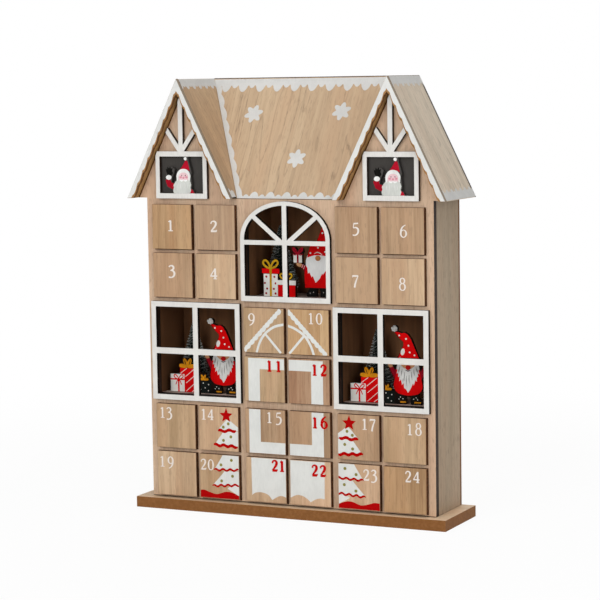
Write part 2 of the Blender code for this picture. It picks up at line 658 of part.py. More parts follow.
def make_arch_frame():
    """The arched frame: a mullion, a transom and two bars fanned out above it."""
    half = ARCH_HALF - ARCH_SIDE_BAR
    rise = ARCH_RISE - ARCH_TOP_BAR
    top = ARCH_SPRING_Z - ARCH_TRANSOM_DROP
    mullion = ARCH_MULLION / 2
    hub_z = ARCH_SPRING_Z - FAN_HUB_DROP
    cosine = math.cos(FAN_ANGLE)
    sine = math.sin(FAN_ANGLE)
    direction = (cosine, sine)
    offset = FAN_BAR / 2
    under = (sine * offset, hub_z - cosine * offset)
    over = (-sine * offset, hub_z + cosine * offset)
    under_angle = ellipse_hit(under, direction, half, rise)
    over_angle = ellipse_hit(over, direction, half, rise)
    under_x = under[0] + (top - under[1]) * cosine / sine
    over_z = over[1] + (mullion - over[0]) * sine / cosine
    panes = [
        rectangle(mullion, half, ARCH_FOOT_Z + ARCH_SILL, top - ARCH_TRANSOM),
        [(under_x, top), (half, top)] + pane_curve(0, under_angle, half, rise),
        [(mullion, over_z)] + pane_curve(over_angle, math.acos(mullion / half), half, rise),
    ]
    mirror_panes = [[(-u, v) for u, v in reversed(pane)] for pane in panes]
    outer = arch_loop(ARCH_HALF, ARCH_RISE, ARCH_FOOT_Z)
    bm = plate([outer] + panes + mirror_panes, BOARD, FRONT)
    place = (0, TRIM_FRONT, 0)
    add_object("arch_window_frame", finished_mesh("arch_window_frame", bm), WHITE, place)


def brace_corners(top):
    """Right-hand brace from the frame's top bar: foot, the two corners of its end, and the post notch."""
    cosine = math.cos(BRACE_ANGLE)
    sine = math.sin(BRACE_ANGLE)
    offset = BRACE_WIDTH / 2
    start_z = top - BRACE_FOOT_DROP
    limit_z = soffit_z(GABLE_X, BRACE_SETBACK)
    under = (sine * offset, start_z - cosine * offset)
    over = (-sine * offset, start_z + cosine * offset)
    ends = []
    for x, z in (under, over):
        reach = (limit_z - GABLE_SLOPE * x - z) / (sine + GABLE_SLOPE * cosine)
        ends.append((x + reach * cosine, z + reach * sine))
    foot = (under[0] + (top - under[1]) * cosine / sine, top)
    notch = (POST_WIDTH / 2, over[1] + (POST_WIDTH / 2 - over[0]) * sine / cosine)
    return [foot] + ends + [notch]


def make_dormer_frames():
    """A frame, post and braces in each gable, with the waving half figure across the opening."""
    half = DORMER_WIDTH / 2
    top = DORMER_FOOT_Z + DORMER_HEIGHT
    corner_x = soffit_x(top, DORMER_PLAY)
    corner_z = soffit_z(GABLE_X + half, DORMER_PLAY)
    shoulder = (POST_WIDTH / 2, soffit_z(GABLE_X + POST_WIDTH / 2, DORMER_PLAY))
    side = [(half, DORMER_FOOT_Z), (half, corner_z), (corner_x, top)] + brace_corners(top) + [shoulder]
    outer = side + [(0, soffit_z(GABLE_X, DORMER_PLAY))] + [(-u, v) for u, v in reversed(side)]
    pane_half = half - DORMER_SIDE_BAR
    pane_low = DORMER_FOOT_Z + DORMER_BAR
    step_x = 2 * pane_half / DORMER_GRID_X
    step_z = (DORMER_HEIGHT - 2 * DORMER_BAR) / DORMER_GRID_Z

    def placed(shares):
        return [(u * step_x - pane_half, pane_low + v * step_z) for u, v in shares]

    left_pane = [(0, 0)] + list(HALF_FIGURE_LEFT_SHARES) + [(0, DORMER_GRID_Z)]
    right_pane = list(HALF_FIGURE_RIGHT_SHARES) + [(DORMER_GRID_X, DORMER_GRID_Z), (DORMER_GRID_X, 0)]
    loops = [outer, placed(left_pane), placed(right_pane)]
    for name, way in (("left_dormer_frame", -1), ("right_dormer_frame", 1)):
        bm = plate(loops, BOARD, FRONT)
        add_object(name, finished_mesh(name, bm), WHITE, (way * GABLE_X, TRIM_FRONT, 0))


def make_figures():
    """The flat cut-out figures that stand in the three window rooms."""
    side_set = drawn(SIDE_SET_SHARES, GNOME_HEIGHT, GNOME_GRID)
    side_floor = slot_floor_z(ROOM_ROW_INDEX) + GAP
    for name, side in (("left_window_figures", -1), ("right_window_figures", 1)):
        bm = plate([side_set], FIGURE_BOARD, FRONT)
        add_object(name, finished_mesh(name, bm), PRINT, (side * GROUP_PITCH_X, SET_Y, side_floor))
    bow_radius = BOW_HOLE_RADIUS_SHARE * GNOME_HEIGHT / GNOME_GRID
    loops = [drawn(ARCH_GIFTS_SHARES, GNOME_HEIGHT, GNOME_GRID)]
    for u, v in drawn(BOW_HOLE_SHARES, GNOME_HEIGHT, GNOME_GRID):
        turns = [math.tau * i / BOW_HOLE_SIDES for i in range(BOW_HOLE_SIDES)]
        loops.append([(u + bow_radius * math.cos(a), v + bow_radius * math.sin(a)) for a in turns])
    arch_floor = ARCH_FLOOR_Z + GAP
    gifts = plate(loops, FIGURE_BOARD, FRONT)
    add_object("arch_gifts", finished_mesh("arch_gifts", gifts), PRINT, (0, SET_Y, arch_floor))
    gnome = plate([drawn(ARCH_GNOME_SHARES, GNOME_HEIGHT, GNOME_GRID)], FIGURE_BOARD, FRONT)
    place = (ARCH_GNOME_X, ARCH_GNOME_Y, arch_floor)
    add_object("arch_gnome", finished_mesh("arch_gnome", gnome), PRINT, place)


def ring(bm, radius, height, turn):
    """A ring of corners round the tree's axis."""
    corners = []
    for i in range(TREE_SIDES):
        angle = turn + math.tau * i / TREE_SIDES
        corners.append(bm.verts.new((radius * math.cos(angle), radius * math.sin(angle), height)))
    return corners


def tree_mesh():
    """Wooden foot, wire stem and a tapering core, every second face of which is drawn out to a strand."""
    bm = bmesh.new()
    profile = [
        (TREE_FOOT_RADIUS, 0, 0),
        (TREE_FOOT_RADIUS, TREE_FOOT_HEIGHT, 0),
        (TREE_STEM_RADIUS, TREE_FOOT_HEIGHT, 0),
        (TREE_STEM_RADIUS, TREE_FOOT_HEIGHT + TREE_STEM_HEIGHT, 0),
    ]
    core_low = TREE_FOOT_HEIGHT + TREE_STEM_HEIGHT
    for i in range(TREE_ROUNDS + 1):
        share = i / TREE_ROUNDS
        radius = TREE_CORE_RADIUS + (TREE_TIP_RADIUS - TREE_CORE_RADIUS) * share
        profile.append((radius, core_low + (TREE_HEIGHT - core_low) * share, i * TREE_TURN_ANGLE))
    rings = [ring(bm, *row) for row in profile]
    bm.faces.new(rings[0])
    bm.faces.new(rings[-1])
    bands = []
    for lower, upper in zip(rings, rings[1:]):
        quads = [(lower[i - 1], lower[i], upper[i], upper[i - 1]) for i in range(TREE_SIDES)]
        bands.append([bm.faces.new(quad) for quad in quads])
    bmesh.ops.recalc_face_normals(bm, faces=bm.faces)
    first = len(profile) - TREE_ROUNDS - 1
    for i, band in enumerate(bands[first:]):
        share = i / (TREE_ROUNDS - 1)
        reach = TREE_STRAND_RADIUS + (TREE_TIP_STRAND_RADIUS - TREE_STRAND_RADIUS) * share
        core = TREE_CORE_RADIUS + (TREE_TIP_RADIUS - TREE_CORE_RADIUS) * share
        drawn_out = band[i % 2 :: 2]
        tips = bmesh.ops.poke(bm, faces=drawn_out, offset=reach - core, center_mode="MEAN")["verts"]
        bmesh.ops.translate(bm, verts=tips, vec=(0, 0, TREE_STRAND_LIFT_HEIGHT))
    return finished_mesh("tree", bm)


def make_trees():
    """Three bottle-brush trees, one behind each window."""
    mesh = tree_mesh()
    side_floor = slot_floor_z(ROOM_ROW_INDEX) + GAP
    places = (
        ("left_window_tree", LEFT_TREE_X - GROUP_PITCH_X, side_floor),
        ("right_window_tree", RIGHT_TREE_X + GROUP_PITCH_X, side_floor),
        ("arch_tree", ARCH_TREE_X, ARCH_FLOOR_Z + GAP),
    )
    for name, x, z in places:
        add_object(name, mesh, BRUSH, (x, TREE_Y, z))


make_base()
make_facade()
make_side_walls()
make_back_panel()
make_grid()
make_gable_boards()
make_main_roof()
make_bargeboards()
make_drawers()
make_window_frames()
make_arch_frame()
make_dormer_frames()
make_figures()
make_trees()
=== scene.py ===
"""Looks of the gabled advent calendar: veneers, paint, printed drawers, cut-out scenes and brush trees."""
import logging
import math
from collections.abc import Iterable
from dataclasses import dataclass, field, replace
from enum import Enum

import bmesh
import bpy
from mathutils import Euler, Matrix, Vector


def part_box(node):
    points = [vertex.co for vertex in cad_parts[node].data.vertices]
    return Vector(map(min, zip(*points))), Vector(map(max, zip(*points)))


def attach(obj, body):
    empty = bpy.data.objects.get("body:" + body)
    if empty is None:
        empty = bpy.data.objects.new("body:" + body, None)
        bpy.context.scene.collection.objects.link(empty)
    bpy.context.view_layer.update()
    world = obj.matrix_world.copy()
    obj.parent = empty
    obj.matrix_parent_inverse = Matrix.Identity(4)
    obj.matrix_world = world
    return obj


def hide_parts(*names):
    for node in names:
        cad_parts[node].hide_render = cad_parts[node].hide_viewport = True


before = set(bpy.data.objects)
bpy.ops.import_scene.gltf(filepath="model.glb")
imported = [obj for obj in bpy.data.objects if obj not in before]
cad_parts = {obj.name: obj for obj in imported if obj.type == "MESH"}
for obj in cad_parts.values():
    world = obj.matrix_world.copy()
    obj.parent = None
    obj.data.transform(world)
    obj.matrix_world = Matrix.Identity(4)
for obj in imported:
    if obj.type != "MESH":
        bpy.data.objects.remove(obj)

LOG = logging.getLogger("advent_calendar")
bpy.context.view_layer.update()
MM = 0.001
HOUSE = "house"
SIDES = ((-1.0, "left"), (1.0, "right"))
FORWARD = (0.0, -1.0, 0.0)
REARWARD = (0.0, 1.0, 0.0)
UPWARD = (0.0, 0.0, 1.0)
RIGHTWARD = (1.0, 0.0, 0.0)
WHITE = (1.0, 1.0, 1.0)
BRUSH_SCALES = (700.0, 160.0)
BRUSH_RELIEF = 0.00003

Point = tuple[float, float]
Loop = list[Point]
Colour = tuple[float, float, float]


def tint(text: str, share: float = 1.0) -> Colour:
    """Turn a written screen colour into scene-linear values.

    Args:
        text: Six hexadecimal digits.
        share: Factor on its light.

    Returns:
        Red, green and blue as the renderer takes them.
    """
    parts = [int(text[i : i + 2], 16) / 255 for i in (0, 2, 4)]
    linear = [c / 12.92 if c <= 0.04045 else ((c + 0.055) / 1.055) ** 2.4 for c in parts]
    red, green, blue = (c * share for c in linear)
    return red, green, blue


def middle_of(node: str) -> tuple[float, ...]:
    """Middle of a node's box, in metres."""
    return tuple((low + high) / 2 for low, high in zip(*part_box(node)))


def half_of(node: str) -> tuple[float, ...]:
    """Half of a node's width, depth and height, in metres."""
    return tuple((high - low) / 2 for low, high in zip(*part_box(node)))


class Value:
    """A number that changes over a surface, so that shader maths reads as Python sums."""

    def __init__(self, sheet: "Nodes", socket: bpy.types.NodeSocket) -> None:
        """Keep the sheet that adds the nodes and the socket that the number comes from."""
        self.sheet = sheet
        self.socket = socket

    def __add__(self, other: "Value | float") -> "Value":
        """Sum of two numbers."""
        return self.sheet.maths("ADD", self, other)

    __radd__ = __add__

    def __sub__(self, other: "Value | float") -> "Value":
        """Difference of two numbers."""
        return self.sheet.maths("SUBTRACT", self, other)

    def __rsub__(self, other: float) -> "Value":
        """Difference with the number on the right."""
        return self.sheet.maths("SUBTRACT", other, self)

    def __mul__(self, other: "Value | float") -> "Value":
        """Product of two numbers."""
        return self.sheet.maths("MULTIPLY", self, other)

    __rmul__ = __mul__

    def __abs__(self) -> "Value":
        """Size of the number without its sign."""
        return self.sheet.maths("ABSOLUTE", self)

    def __gt__(self, other: "Value | float") -> "Value":
        """1 where this number is the larger one, else 0."""
        return self.sheet.maths("GREATER_THAN", self, other)

    def __lt__(self, other: "Value | float") -> "Value":
        """1 where this number is the smaller one, else 0."""
        return self.sheet.maths("LESS_THAN", self, other)

    def larger(self, other: "Value | float") -> "Value":
        """The larger of two numbers."""
        return self.sheet.maths("MAXIMUM", self, other)


class Nodes:
    """A node tree and the one way in which nodes are added to it."""

    def __init__(self, owner: bpy.types.Material | bpy.types.World) -> None:
        """Start with an empty tree.

        Args:
            owner: The material or world that the tree belongs to.
        """
        owner.use_nodes = True
        self.tree = owner.node_tree
        self.tree.nodes.clear()

    def node(self, kind: str, settings: dict | None = None, sockets: dict | None = None) -> bpy.types.Node:
        """Add a node of any type.

        Args:
            kind: Blender's name of the node type.
            settings: Attributes of the node, set first.
            sockets: Input names or numbers with a value, a Value or a socket each.

        Returns:
            The new node.
        """
        made = self.tree.nodes.new(kind)
        for key, value in (settings or {}).items():
            setattr(made, key, value)
        for key, value in (sockets or {}).items():
            self.join(value, made.inputs[key])
        return made

    def join(self, value: object, target: bpy.types.NodeSocket) -> None:
        """Link or set one input.

        Args:
            value: A Value, a socket, a number or a tuple.
            target: The input.
        """
        if isinstance(value, Value):
            value = value.socket
        if isinstance(value, bpy.types.NodeSocket):
            self.tree.links.new(value, target)
        elif isinstance(value, tuple) and len(value) == 3 and target.type == "RGBA":
            target.default_value = (*value, 1.0)
        else:
            target.default_value = value

    def maths(self, operation: str, *terms: Value | float) -> Value:
        """Result of a Math node on some terms."""
        made = self.node("ShaderNodeMath", {"operation": operation}, dict(enumerate(terms)))
        return Value(self, made.outputs[0])

    def backdrop(self) -> Value:
        """1 for the rays that see the backdrop, which are the eye's and those of gloss and glass, else 0.

        Returns:
            The number.
        """
        rays = self.node("ShaderNodeLightPath").outputs
        kinds = ("Camera", "Glossy", "Transmission")
        eye, gloss, glass = (Value(self, rays[f"Is {kind} Ray"]) for kind in kinds)
        return eye.larger(gloss).larger(glass)

    def blend(self, share: Value, first: bpy.types.Node, second: bpy.types.Node) -> bpy.types.NodeSocket:
        """Mix two shaders, the share being how much of the second shows."""
        shaders = {0: share, 1: first.outputs[0], 2: second.outputs[0]}
        return self.node("ShaderNodeMixShader", None, shaders).outputs[0]


class Sheet(Nodes):
    """One material's node tree, with its shader and output in place."""

    def __init__(self, name: str) -> None:
        """Start a material with only a Principled shader.

        Args:
            name: Material name.
        """
        self.material = bpy.data.materials.new(name)
        super().__init__(self.material)
        self.shader = self.node("ShaderNodeBsdfPrincipled")
        self.output = self.node("ShaderNodeOutputMaterial", None, {"Surface": self.shader.outputs[0]})
        self.place = self.node("ShaderNodeTexCoord")

    def dot(self, source: str, direction: Vector | tuple) -> Value:
        """Dot product of a direction with a named output of the place."""
        made = self.node("ShaderNodeVectorMath", {"operation": "DOT_PRODUCT"}, {
            0: self.place.outputs[source], 1: tuple(direction)})
        return Value(self, made.outputs["Value"])

    def along(self, direction: Vector | tuple) -> Value:
        """Distance along a direction, in metres."""
        return self.dot("Object", direction)

    def facing(self, direction: Vector | tuple) -> Value:
        """How far the surface's normal points along a direction, from -1 to 1."""
        return self.dot("Normal", direction)

    def axes(self) -> tuple[Value, ...]:
        """Distances along x, y and z."""
        return tuple(self.along(axis) for axis in Matrix.Identity(3))

    def noise(self, place: tuple, scales: Point, detail: float, twist: float = 0.0) -> Value:
        """Cloudy noise that is stretched along a grain.

        Args:
            place: Place across the grain, along it and square to the board.
            scales: Cycles per metre across and along the grain.
            detail: Octaves of the noise.
            twist: How far the noise distorts itself.

        Returns:
            A number from 0 to 1, mostly near a half.
        """
        across, along, depth = place
        parts = {0: across * scales[0], 1: along * scales[1], 2: depth * scales[0]}
        vector = self.node("ShaderNodeCombineXYZ", None, parts).outputs[0]
        sockets = {"Vector": vector, "Scale": 1.0, "Detail": detail, "Distortion": twist}
        return Value(self, self.node("ShaderNodeTexNoise", None, sockets).outputs["Fac"])

    def ramp(self, value: Value, low: float, high: float) -> Value:
        """Stretch the range from low to high to 0 to 1, with soft ends."""
        made = self.node("ShaderNodeMapRange", {"interpolation_type": "SMOOTHSTEP"}, {
            "Value": value, "From Min": low, "From Max": high})
        return Value(self, made.outputs[0])

    def mix(self, share: Value | float, first: object, second: object) -> bpy.types.NodeSocket:
        """Blend two colours, the share being how much of the second shows."""
        return self.node("ShaderNodeMix", {"data_type": "RGBA"}, {0: share, 6: first, 7: second}).outputs[2]

    def grit(self, share: Value, text: str, darkening: float) -> bpy.types.NodeSocket:
        """Blend from a written colour's darkened shade to the colour itself."""
        return self.mix(share, tint(text, darkening), tint(text))

    def soot(self, depth: Value, until: float, colour: object) -> bpy.types.NodeSocket:
        """Painted shade: blacken a colour in front of a depth, just behind the facade, and fade to it just
        before that depth.
        """
        return self.mix(self.ramp(depth, until - 0.0008, until), tint("0f0a06"), colour)

    def bump(self, height: Value, distance: float, strength: float) -> None:
        """Give the shader a normal with bumps of a real height in metres."""
        sockets = {"Height": height, "Distance": distance, "Strength": strength}
        self.join(self.node("ShaderNodeBump", None, sockets).outputs[0], self.shader.inputs["Normal"])

    def surface(self, colour: object, roughness: object, gloss: float = 0.3) -> bpy.types.Material:
        """Set the colour and roughness and return the finished material.

        Args:
            colour: Colour or socket.
            roughness: Number or Value.
            gloss: Level of the mirror-like part.

        Returns:
            The material.
        """
        self.join(colour, self.shader.inputs["Base Color"])
        self.join(roughness, self.shader.inputs["Roughness"])
        self.shader.inputs["Specular IOR Level"].default_value = gloss
        return self.material


@dataclass(frozen=True)
class Veneer:
    """Wood veneer on a laser-cut board: its grain, its faces and its burnt edges, with painted shade where
    asked: on its back just behind the facade and in a rim at some joints.
    """

    name: str
    light: str
    dark: str
    along: tuple = UPWARD
    face: tuple = FORWARD
    edge: str = "35210f"
    edge_light: str = "6a482b"
    back: str | None = None
    seed: float = 0.0
    contrast: float = 1.0
    rings: float = 55.0
    growth_share: float = 0.25
    growth_from: float = 0.72
    broken: float = 1.0
    pore_share: float = 0.3
    drift: float = 0.35
    upper_edge: str | None = None
    rim: tuple | None = None
    soot_until: float | None = None

    def grain(self, sheet: Sheet) -> tuple[bpy.types.NodeSocket, Value]:
        """Colour and fibre height of the veneer.

        Args:
            sheet: The material under way.

        Returns:
            Colour socket and the fibre's height.
        """
        face = Vector(self.face).normalized()
        along_axis = Vector(self.along).normalized()
        across = sheet.along(face.cross(along_axis)) + self.seed
        place = (across, sheet.along(along_axis) + self.seed * 3, sheet.along(face))
        broad = sheet.noise(place, (34.0, 3.4), 2.0, 0.9)
        streak = sheet.noise(place, (230.0, 7.0), 3.0, 0.3)
        fibre = sheet.noise(place, (1300.0, 36.0), 2.0)
        pore = sheet.ramp(sheet.noise(place, (820.0, 120.0), 1.0), 0.56, 0.68)
        growth = sheet.maths("SINE", broad * self.rings + streak * 1.6)
        breaks = sheet.ramp(pore + (fibre - 0.5) * 0.9, 0.0, 0.5)
        growth = sheet.ramp(growth, self.growth_from, 1.0) * (breaks * self.broken + (1 - self.broken))
        tone = (broad - 0.5) * 1.3 + (streak - 0.5) * 1.0 + (fibre - 0.5) * 0.6
        tone = sheet.ramp(tone * self.contrast + 0.5, 0.0, 1.0)
        colour = sheet.mix(tone, tint(self.dark), tint(self.light))
        rosy = tuple(c * k for c, k in zip(tint(self.light), (0.98, 0.84, 0.78)))
        patch = sheet.ramp(sheet.noise(place, (52.0, 4.4), 1.0), 0.42, 0.66)
        colour = sheet.mix(patch * self.drift, colour, rosy)
        lines = (pore * self.pore_share).larger(growth * self.growth_share)
        return sheet.mix(lines, colour, tint(self.dark, 0.52)), fibre - pore * 0.5

    def burnt(self, sheet: Sheet) -> bpy.types.NodeSocket:
        """Colour of a cut edge, sooty with lighter patches.

        Args:
            sheet: The material under way.

        Returns:
            Colour socket.
        """
        patches = sheet.ramp(sheet.noise(sheet.axes(), (420.0, 420.0), 2.0), 0.35, 0.75)
        colour = sheet.mix(patches, tint(self.edge), tint(self.edge_light))
        if self.upper_edge is not None:
            colour = sheet.mix(sheet.facing(UPWARD) > 0.1, colour, tint(self.upper_edge))
        return colour

    def cut(self, sheet: Sheet, colour: bpy.types.NodeSocket, fibre: Value) -> bpy.types.NodeSocket:
        """Add the edges, the back with painted shade just behind the facade, and a rim of scorch that at some
        joints is also painted contact shade.

        Args:
            sheet: The material under way.
            colour: The veneer's colour.
            fibre: The fibre's height; not used here.

        Returns:
            Colour socket of the whole board.
        """
        facing = sheet.facing(Vector(self.face).normalized())
        shown = (abs(facing) if self.back is None else facing) > 0.5
        colour = sheet.mix(shown, self.burnt(sheet), colour)
        if self.back is not None:
            rear = tint(self.back)
            # Painted shade: the inner face turns near black just behind the facade.
            if self.soot_until is not None:
                rear = sheet.soot(sheet.along(REARWARD), self.soot_until, rear)
            colour = sheet.mix(facing < -0.5, colour, rear)
        # The rim is laser scorch; at the facade's foot and the side walls' front it is also painted contact
        # shade.
        if self.rim is not None:
            axis, start, reach = self.rim
            scorched = sheet.ramp(sheet.along(axis), start, start + reach)
            colour = sheet.mix(scorched, colour, tint(self.edge))
        return colour

    def make(self) -> bpy.types.Material:
        """Build the material.

        Returns:
            The board's material.
        """
        sheet = Sheet(self.name)
        colour, fibre = self.grain(sheet)
        colour = self.cut(sheet, colour, fibre)
        sheet.bump(fibre, 0.00006, 0.6)
        return sheet.surface(colour, 0.62 + fibre * 0.12)


@dataclass(frozen=True)
class DrawerVeneer(Veneer):
    """A drawer's veneered front with scorched margins, and its bare tray behind."""

    middle: tuple = (0.0, 0.0, 0.0)
    half: tuple = (0.0204, 0.0, 0.0206)
    board_back: float = 0.0
    tray: str = "b99a74"
    scorch: float = 0.0005

    def cut(self, sheet: Sheet, colour: bpy.types.NodeSocket, fibre: Value) -> bpy.types.NodeSocket:
        """Add the scorched margins, the edges and the tray to the veneer's colour.

        Args:
            sheet: The material under way.
            colour: The veneer's colour.
            fibre: The fibre's height.

        Returns:
            Colour socket of the whole drawer.
        """
        x = abs(sheet.along(RIGHTWARD) - self.middle[0]) - self.half[0]
        z = abs(sheet.along(UPWARD) - self.middle[2]) - self.half[2]
        rim = sheet.ramp(x.larger(z) * (1 / self.scorch) + 1.0, 0.15, 0.95)
        colour = sheet.mix(rim * 0.35, colour, tint(self.edge))
        colour = sheet.mix(sheet.facing(self.face) > 0.5, self.burnt(sheet), colour)
        bare = sheet.mix(fibre, tint(self.tray), tint(self.tray, 0.86))
        return sheet.mix(sheet.along(REARWARD) > self.board_back, colour, bare)


@dataclass(frozen=True)
class InnerBoard:
    """Dark board inside the house; its upward faces are the paler floors, and painted shade turns it near
    black just behind the facade.
    """

    name: str
    dark: str = "7d5434"
    floor: str = "dcc4b6"
    outside: str | None = None
    soot_until: float | None = None

    def make(self) -> bpy.types.Material:
        """Build the material.

        Returns:
            The inner board's material.
        """
        sheet = Sheet(self.name)
        x, y, z = sheet.axes()
        cloud = sheet.noise((x, z, y), (130.0, 12.0), 3.0, 0.4)
        fibre = sheet.noise((x, y, z), (900.0, 160.0), 2.0)
        colour = sheet.grit(sheet.ramp(cloud, 0.3, 0.7), self.dark, 0.7)
        pale = sheet.grit(sheet.ramp(fibre, 0.3, 0.7), self.floor, 0.8)
        colour = sheet.mix(sheet.facing(UPWARD) > 0.5, colour, pale)
        # Painted shade: walls and floors turn near black just behind the facade.
        if self.soot_until is not None:
            colour = sheet.soot(y, self.soot_until, colour)
        if self.outside is not None:
            plain = sheet.grit(sheet.ramp(fibre, 0.25, 0.75), self.outside, 0.85)
            colour = sheet.mix(sheet.facing(REARWARD) > 0.5, colour, plain)
        sheet.bump(fibre, 0.00004, 0.5)
        return sheet.surface(colour, 0.78 + fibre * 0.1)


@dataclass(frozen=True)
class Paint:
    """Flat or screen-printed paint with a faint mottle and brush texture."""

    name: str
    colour: str
    roughness: float = 0.5
    mottle: float = 0.06
    edge: str | None = None
    gloss: float = 0.04

    def make(self) -> bpy.types.Material:
        """Build the material.

        Returns:
            The paint's material.
        """
        sheet = Sheet(self.name)
        x, y, z = sheet.axes()
        cloud = sheet.noise((x, z, y), (90.0, 70.0), 3.0)
        fine = sheet.noise((x, z, y), BRUSH_SCALES, 2.0)
        worn = sheet.ramp(cloud * 0.6 + fine * 0.4, 0.38, 0.62)
        colour = sheet.grit(worn, self.colour, 1 - 2.2 * self.mottle)
        if self.edge is not None:
            sooty = sheet.mix(sheet.ramp(fine, 0.3, 0.8), tint(self.edge), tint(self.edge, 1.8))
            colour = sheet.mix(abs(sheet.facing(FORWARD)) > 0.5, sooty, colour)
        sheet.bump(fine, BRUSH_RELIEF, 0.5)
        return sheet.surface(colour, self.roughness + fine * 0.12, self.gloss)


@dataclass(frozen=True)
class DormerTrim:
    """White frame whose pane holds a figure cut from dark card."""

    name: str
    node: str
    colour: str = "dad8d3"
    card: str = "383532"
    edge: str = "2a1a10"
    side_bar: float = 0.0042
    foot_bar: float = 0.0048
    height: float = 0.0433

    def make(self) -> bpy.types.Material:
        """Build the material.

        Returns:
            The dormer's material.
        """
        sheet = Sheet(self.name)
        x, y, z = sheet.axes()
        fine = sheet.noise((x, z, y), BRUSH_SCALES, 2.0)
        colour = sheet.grit(sheet.ramp(fine, 0.35, 0.65), self.colour, 0.93)
        colour = sheet.mix(abs(sheet.facing(REARWARD)) > 0.5, tint(self.edge), colour)
        across = abs(x - middle_of(self.node)[0]) < half_of(self.node)[0] - self.side_bar
        up = abs(z - (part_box(self.node)[0][2] + self.height / 2)) < self.height / 2 - self.foot_bar
        colour = sheet.mix(across * up, colour, tint(self.card))
        sheet.bump(fine, BRUSH_RELIEF, 0.5)
        return sheet.surface(colour, 0.5 + fine * 0.12)


@dataclass(frozen=True)
class Bristle:
    """Brush fibre, dark at the stem and frosted white towards the tips."""

    name: str
    green: str = "11231b"
    frost: str = "eef2ee"

    def make(self) -> bpy.types.Material:
        """Build the material.

        Returns:
            The fibre's material.
        """
        sheet = Sheet(self.name)
        tip = Value(sheet, sheet.node("ShaderNodeAttribute", {"attribute_name": "frost"}).outputs["Fac"])
        patch = sheet.noise(sheet.axes(), (420.0, 420.0), 1.0)
        snowy = sheet.ramp(tip + (patch - 0.5) * 1.7, 0.62, 0.82)
        return sheet.surface(sheet.mix(snowy, tint(self.green), tint(self.frost)), 0.8 - snowy * 0.15)


@dataclass(frozen=True)
class StudioFloor:
    """Pale floor that the camera sees as white, with the object's soft shadow left in."""

    name: str = "studio_floor"
    colour: Colour = (0.92, 0.92, 0.92)
    near_share: float = 0.92
    near: float = 0.3
    far: float = 0.9

    def make(self) -> bpy.types.Material:
        """Build the material.

        Returns:
            The floor's material.
        """
        sheet = Sheet(self.name)
        glow = sheet.node("ShaderNodeEmission", None, {"Color": WHITE, "Strength": 1.0})
        place = sheet.place.outputs["Object"]
        reach = sheet.node("ShaderNodeVectorMath", {"operation": "LENGTH"}, {0: place})
        far = sheet.ramp(Value(sheet, reach.outputs["Value"]), self.near, self.far)
        seen = sheet.backdrop() * (far * (1 - self.near_share) + self.near_share)
        sheet.join(sheet.blend(seen, sheet.shader, glow), sheet.output.inputs["Surface"])
        return sheet.surface(self.colour, 0.9)


MATERIALS: dict[str, bpy.types.Material] = {}


def material_of(finish: object) -> bpy.types.Material:
    """The material of a finish, built once for every finish of its name."""
    return MATERIALS.get(finish.name) or MATERIALS.setdefault(finish.name, finish.make())


WHITE_PRINT = Paint("white_print", "d8d9d5", 0.55, 0.03)
NUMBER_WHITE = Paint("number_white", "e3dad2", 0.5, 0.03)
NUMBER_RED = Paint("number_red", "bc0a0c", 0.6, 0.04)
PRINT_RED = Paint("print_red", "ac0204", 0.6, 0.04)
DEEP_RED = Paint("deep_red", "a20c22", 0.5, 0.1)
HAT_CRIMSON = Paint("hat_crimson", "b0142a", 0.6, 0.08)
OLIVE_GOLD = Paint("olive_gold", "8b8646", 0.5, 0.08)
ORANGE_GOLD = Paint("orange_gold", "de9014", 0.45, 0.12)
RIBBON_GOLD = Paint("ribbon_gold", "cb9c1c", 0.4, 0.14)
GIFT_WHITE = Paint("gift_white", "e8e6df", 0.5, 0.04)
GIFT_BLACK = Paint("gift_black", "161c19", 0.5, 0.15)
BOOT_BLACK = Paint("boot_black", "151411", 0.6, 0.2)
FIGURE_RED = Paint("figure_red", "d80408", 0.6, 0.04)
SKIN_TAN = Paint("skin_tan", "d29a6c", 0.5, 0.08)
SKIN_PINK = Paint("skin_pink", "e6c3c7", 0.5, 0.05)
CHEEK_PINK = Paint("cheek_pink", "d58f9c", 0.5, 0.05)
NOSE_RED = Paint("nose_red", "c01818", 0.35, 0.05)
NOSE_TAN = Paint("nose_tan", "c07a44", 0.4, 0.08)
BEARD_GREY = Paint("beard_grey", "dededb", 0.6, 0.08)
BEARD_LIGHT = Paint("beard_light", "ececea", 0.6, 0.04)
BEARD_SHADE = Paint("beard_shade", "84817c", 0.6, 0.1)
BEARD_WHITE = Paint("beard_white", "cdcfc9", 0.7, 0.06)
FUR_WHITE = Paint("fur_white", "e6e6e3", 0.7, 0.06)
POMPOM_GREY = Paint("pompom_grey", "e4e4e0", 0.8, 0.12)
SNOW_PAINT = Paint("snow_paint", "cfcecb", 0.6, 0.03)
PANE_GREY = Paint("pane_grey", "45423f", 0.55, 0.06)
TRIM_WHITE = Paint("trim_white", "dad8d3", 0.45, 0.03, edge="120c09")
TRIM_PRINT = Paint("trim_print", "dadad7", 0.5, 0.03)
# Laser scorch round the drawer openings, together with painted shadow of the drawer fronts.
SCORCH_AND_SHADOW = Paint("scorch", "452a15", 0.7, 0.12)
# Laser scorch and painted contact shade along the gables' slopes.
SLOPE_SCORCH_AND_SHADE = Paint("slope_scorch", "64421f", 0.7, 0.12)
FIGURE_BOARD = Paint("figure_board", "201511", 0.6, 0.1, edge="1c120d")


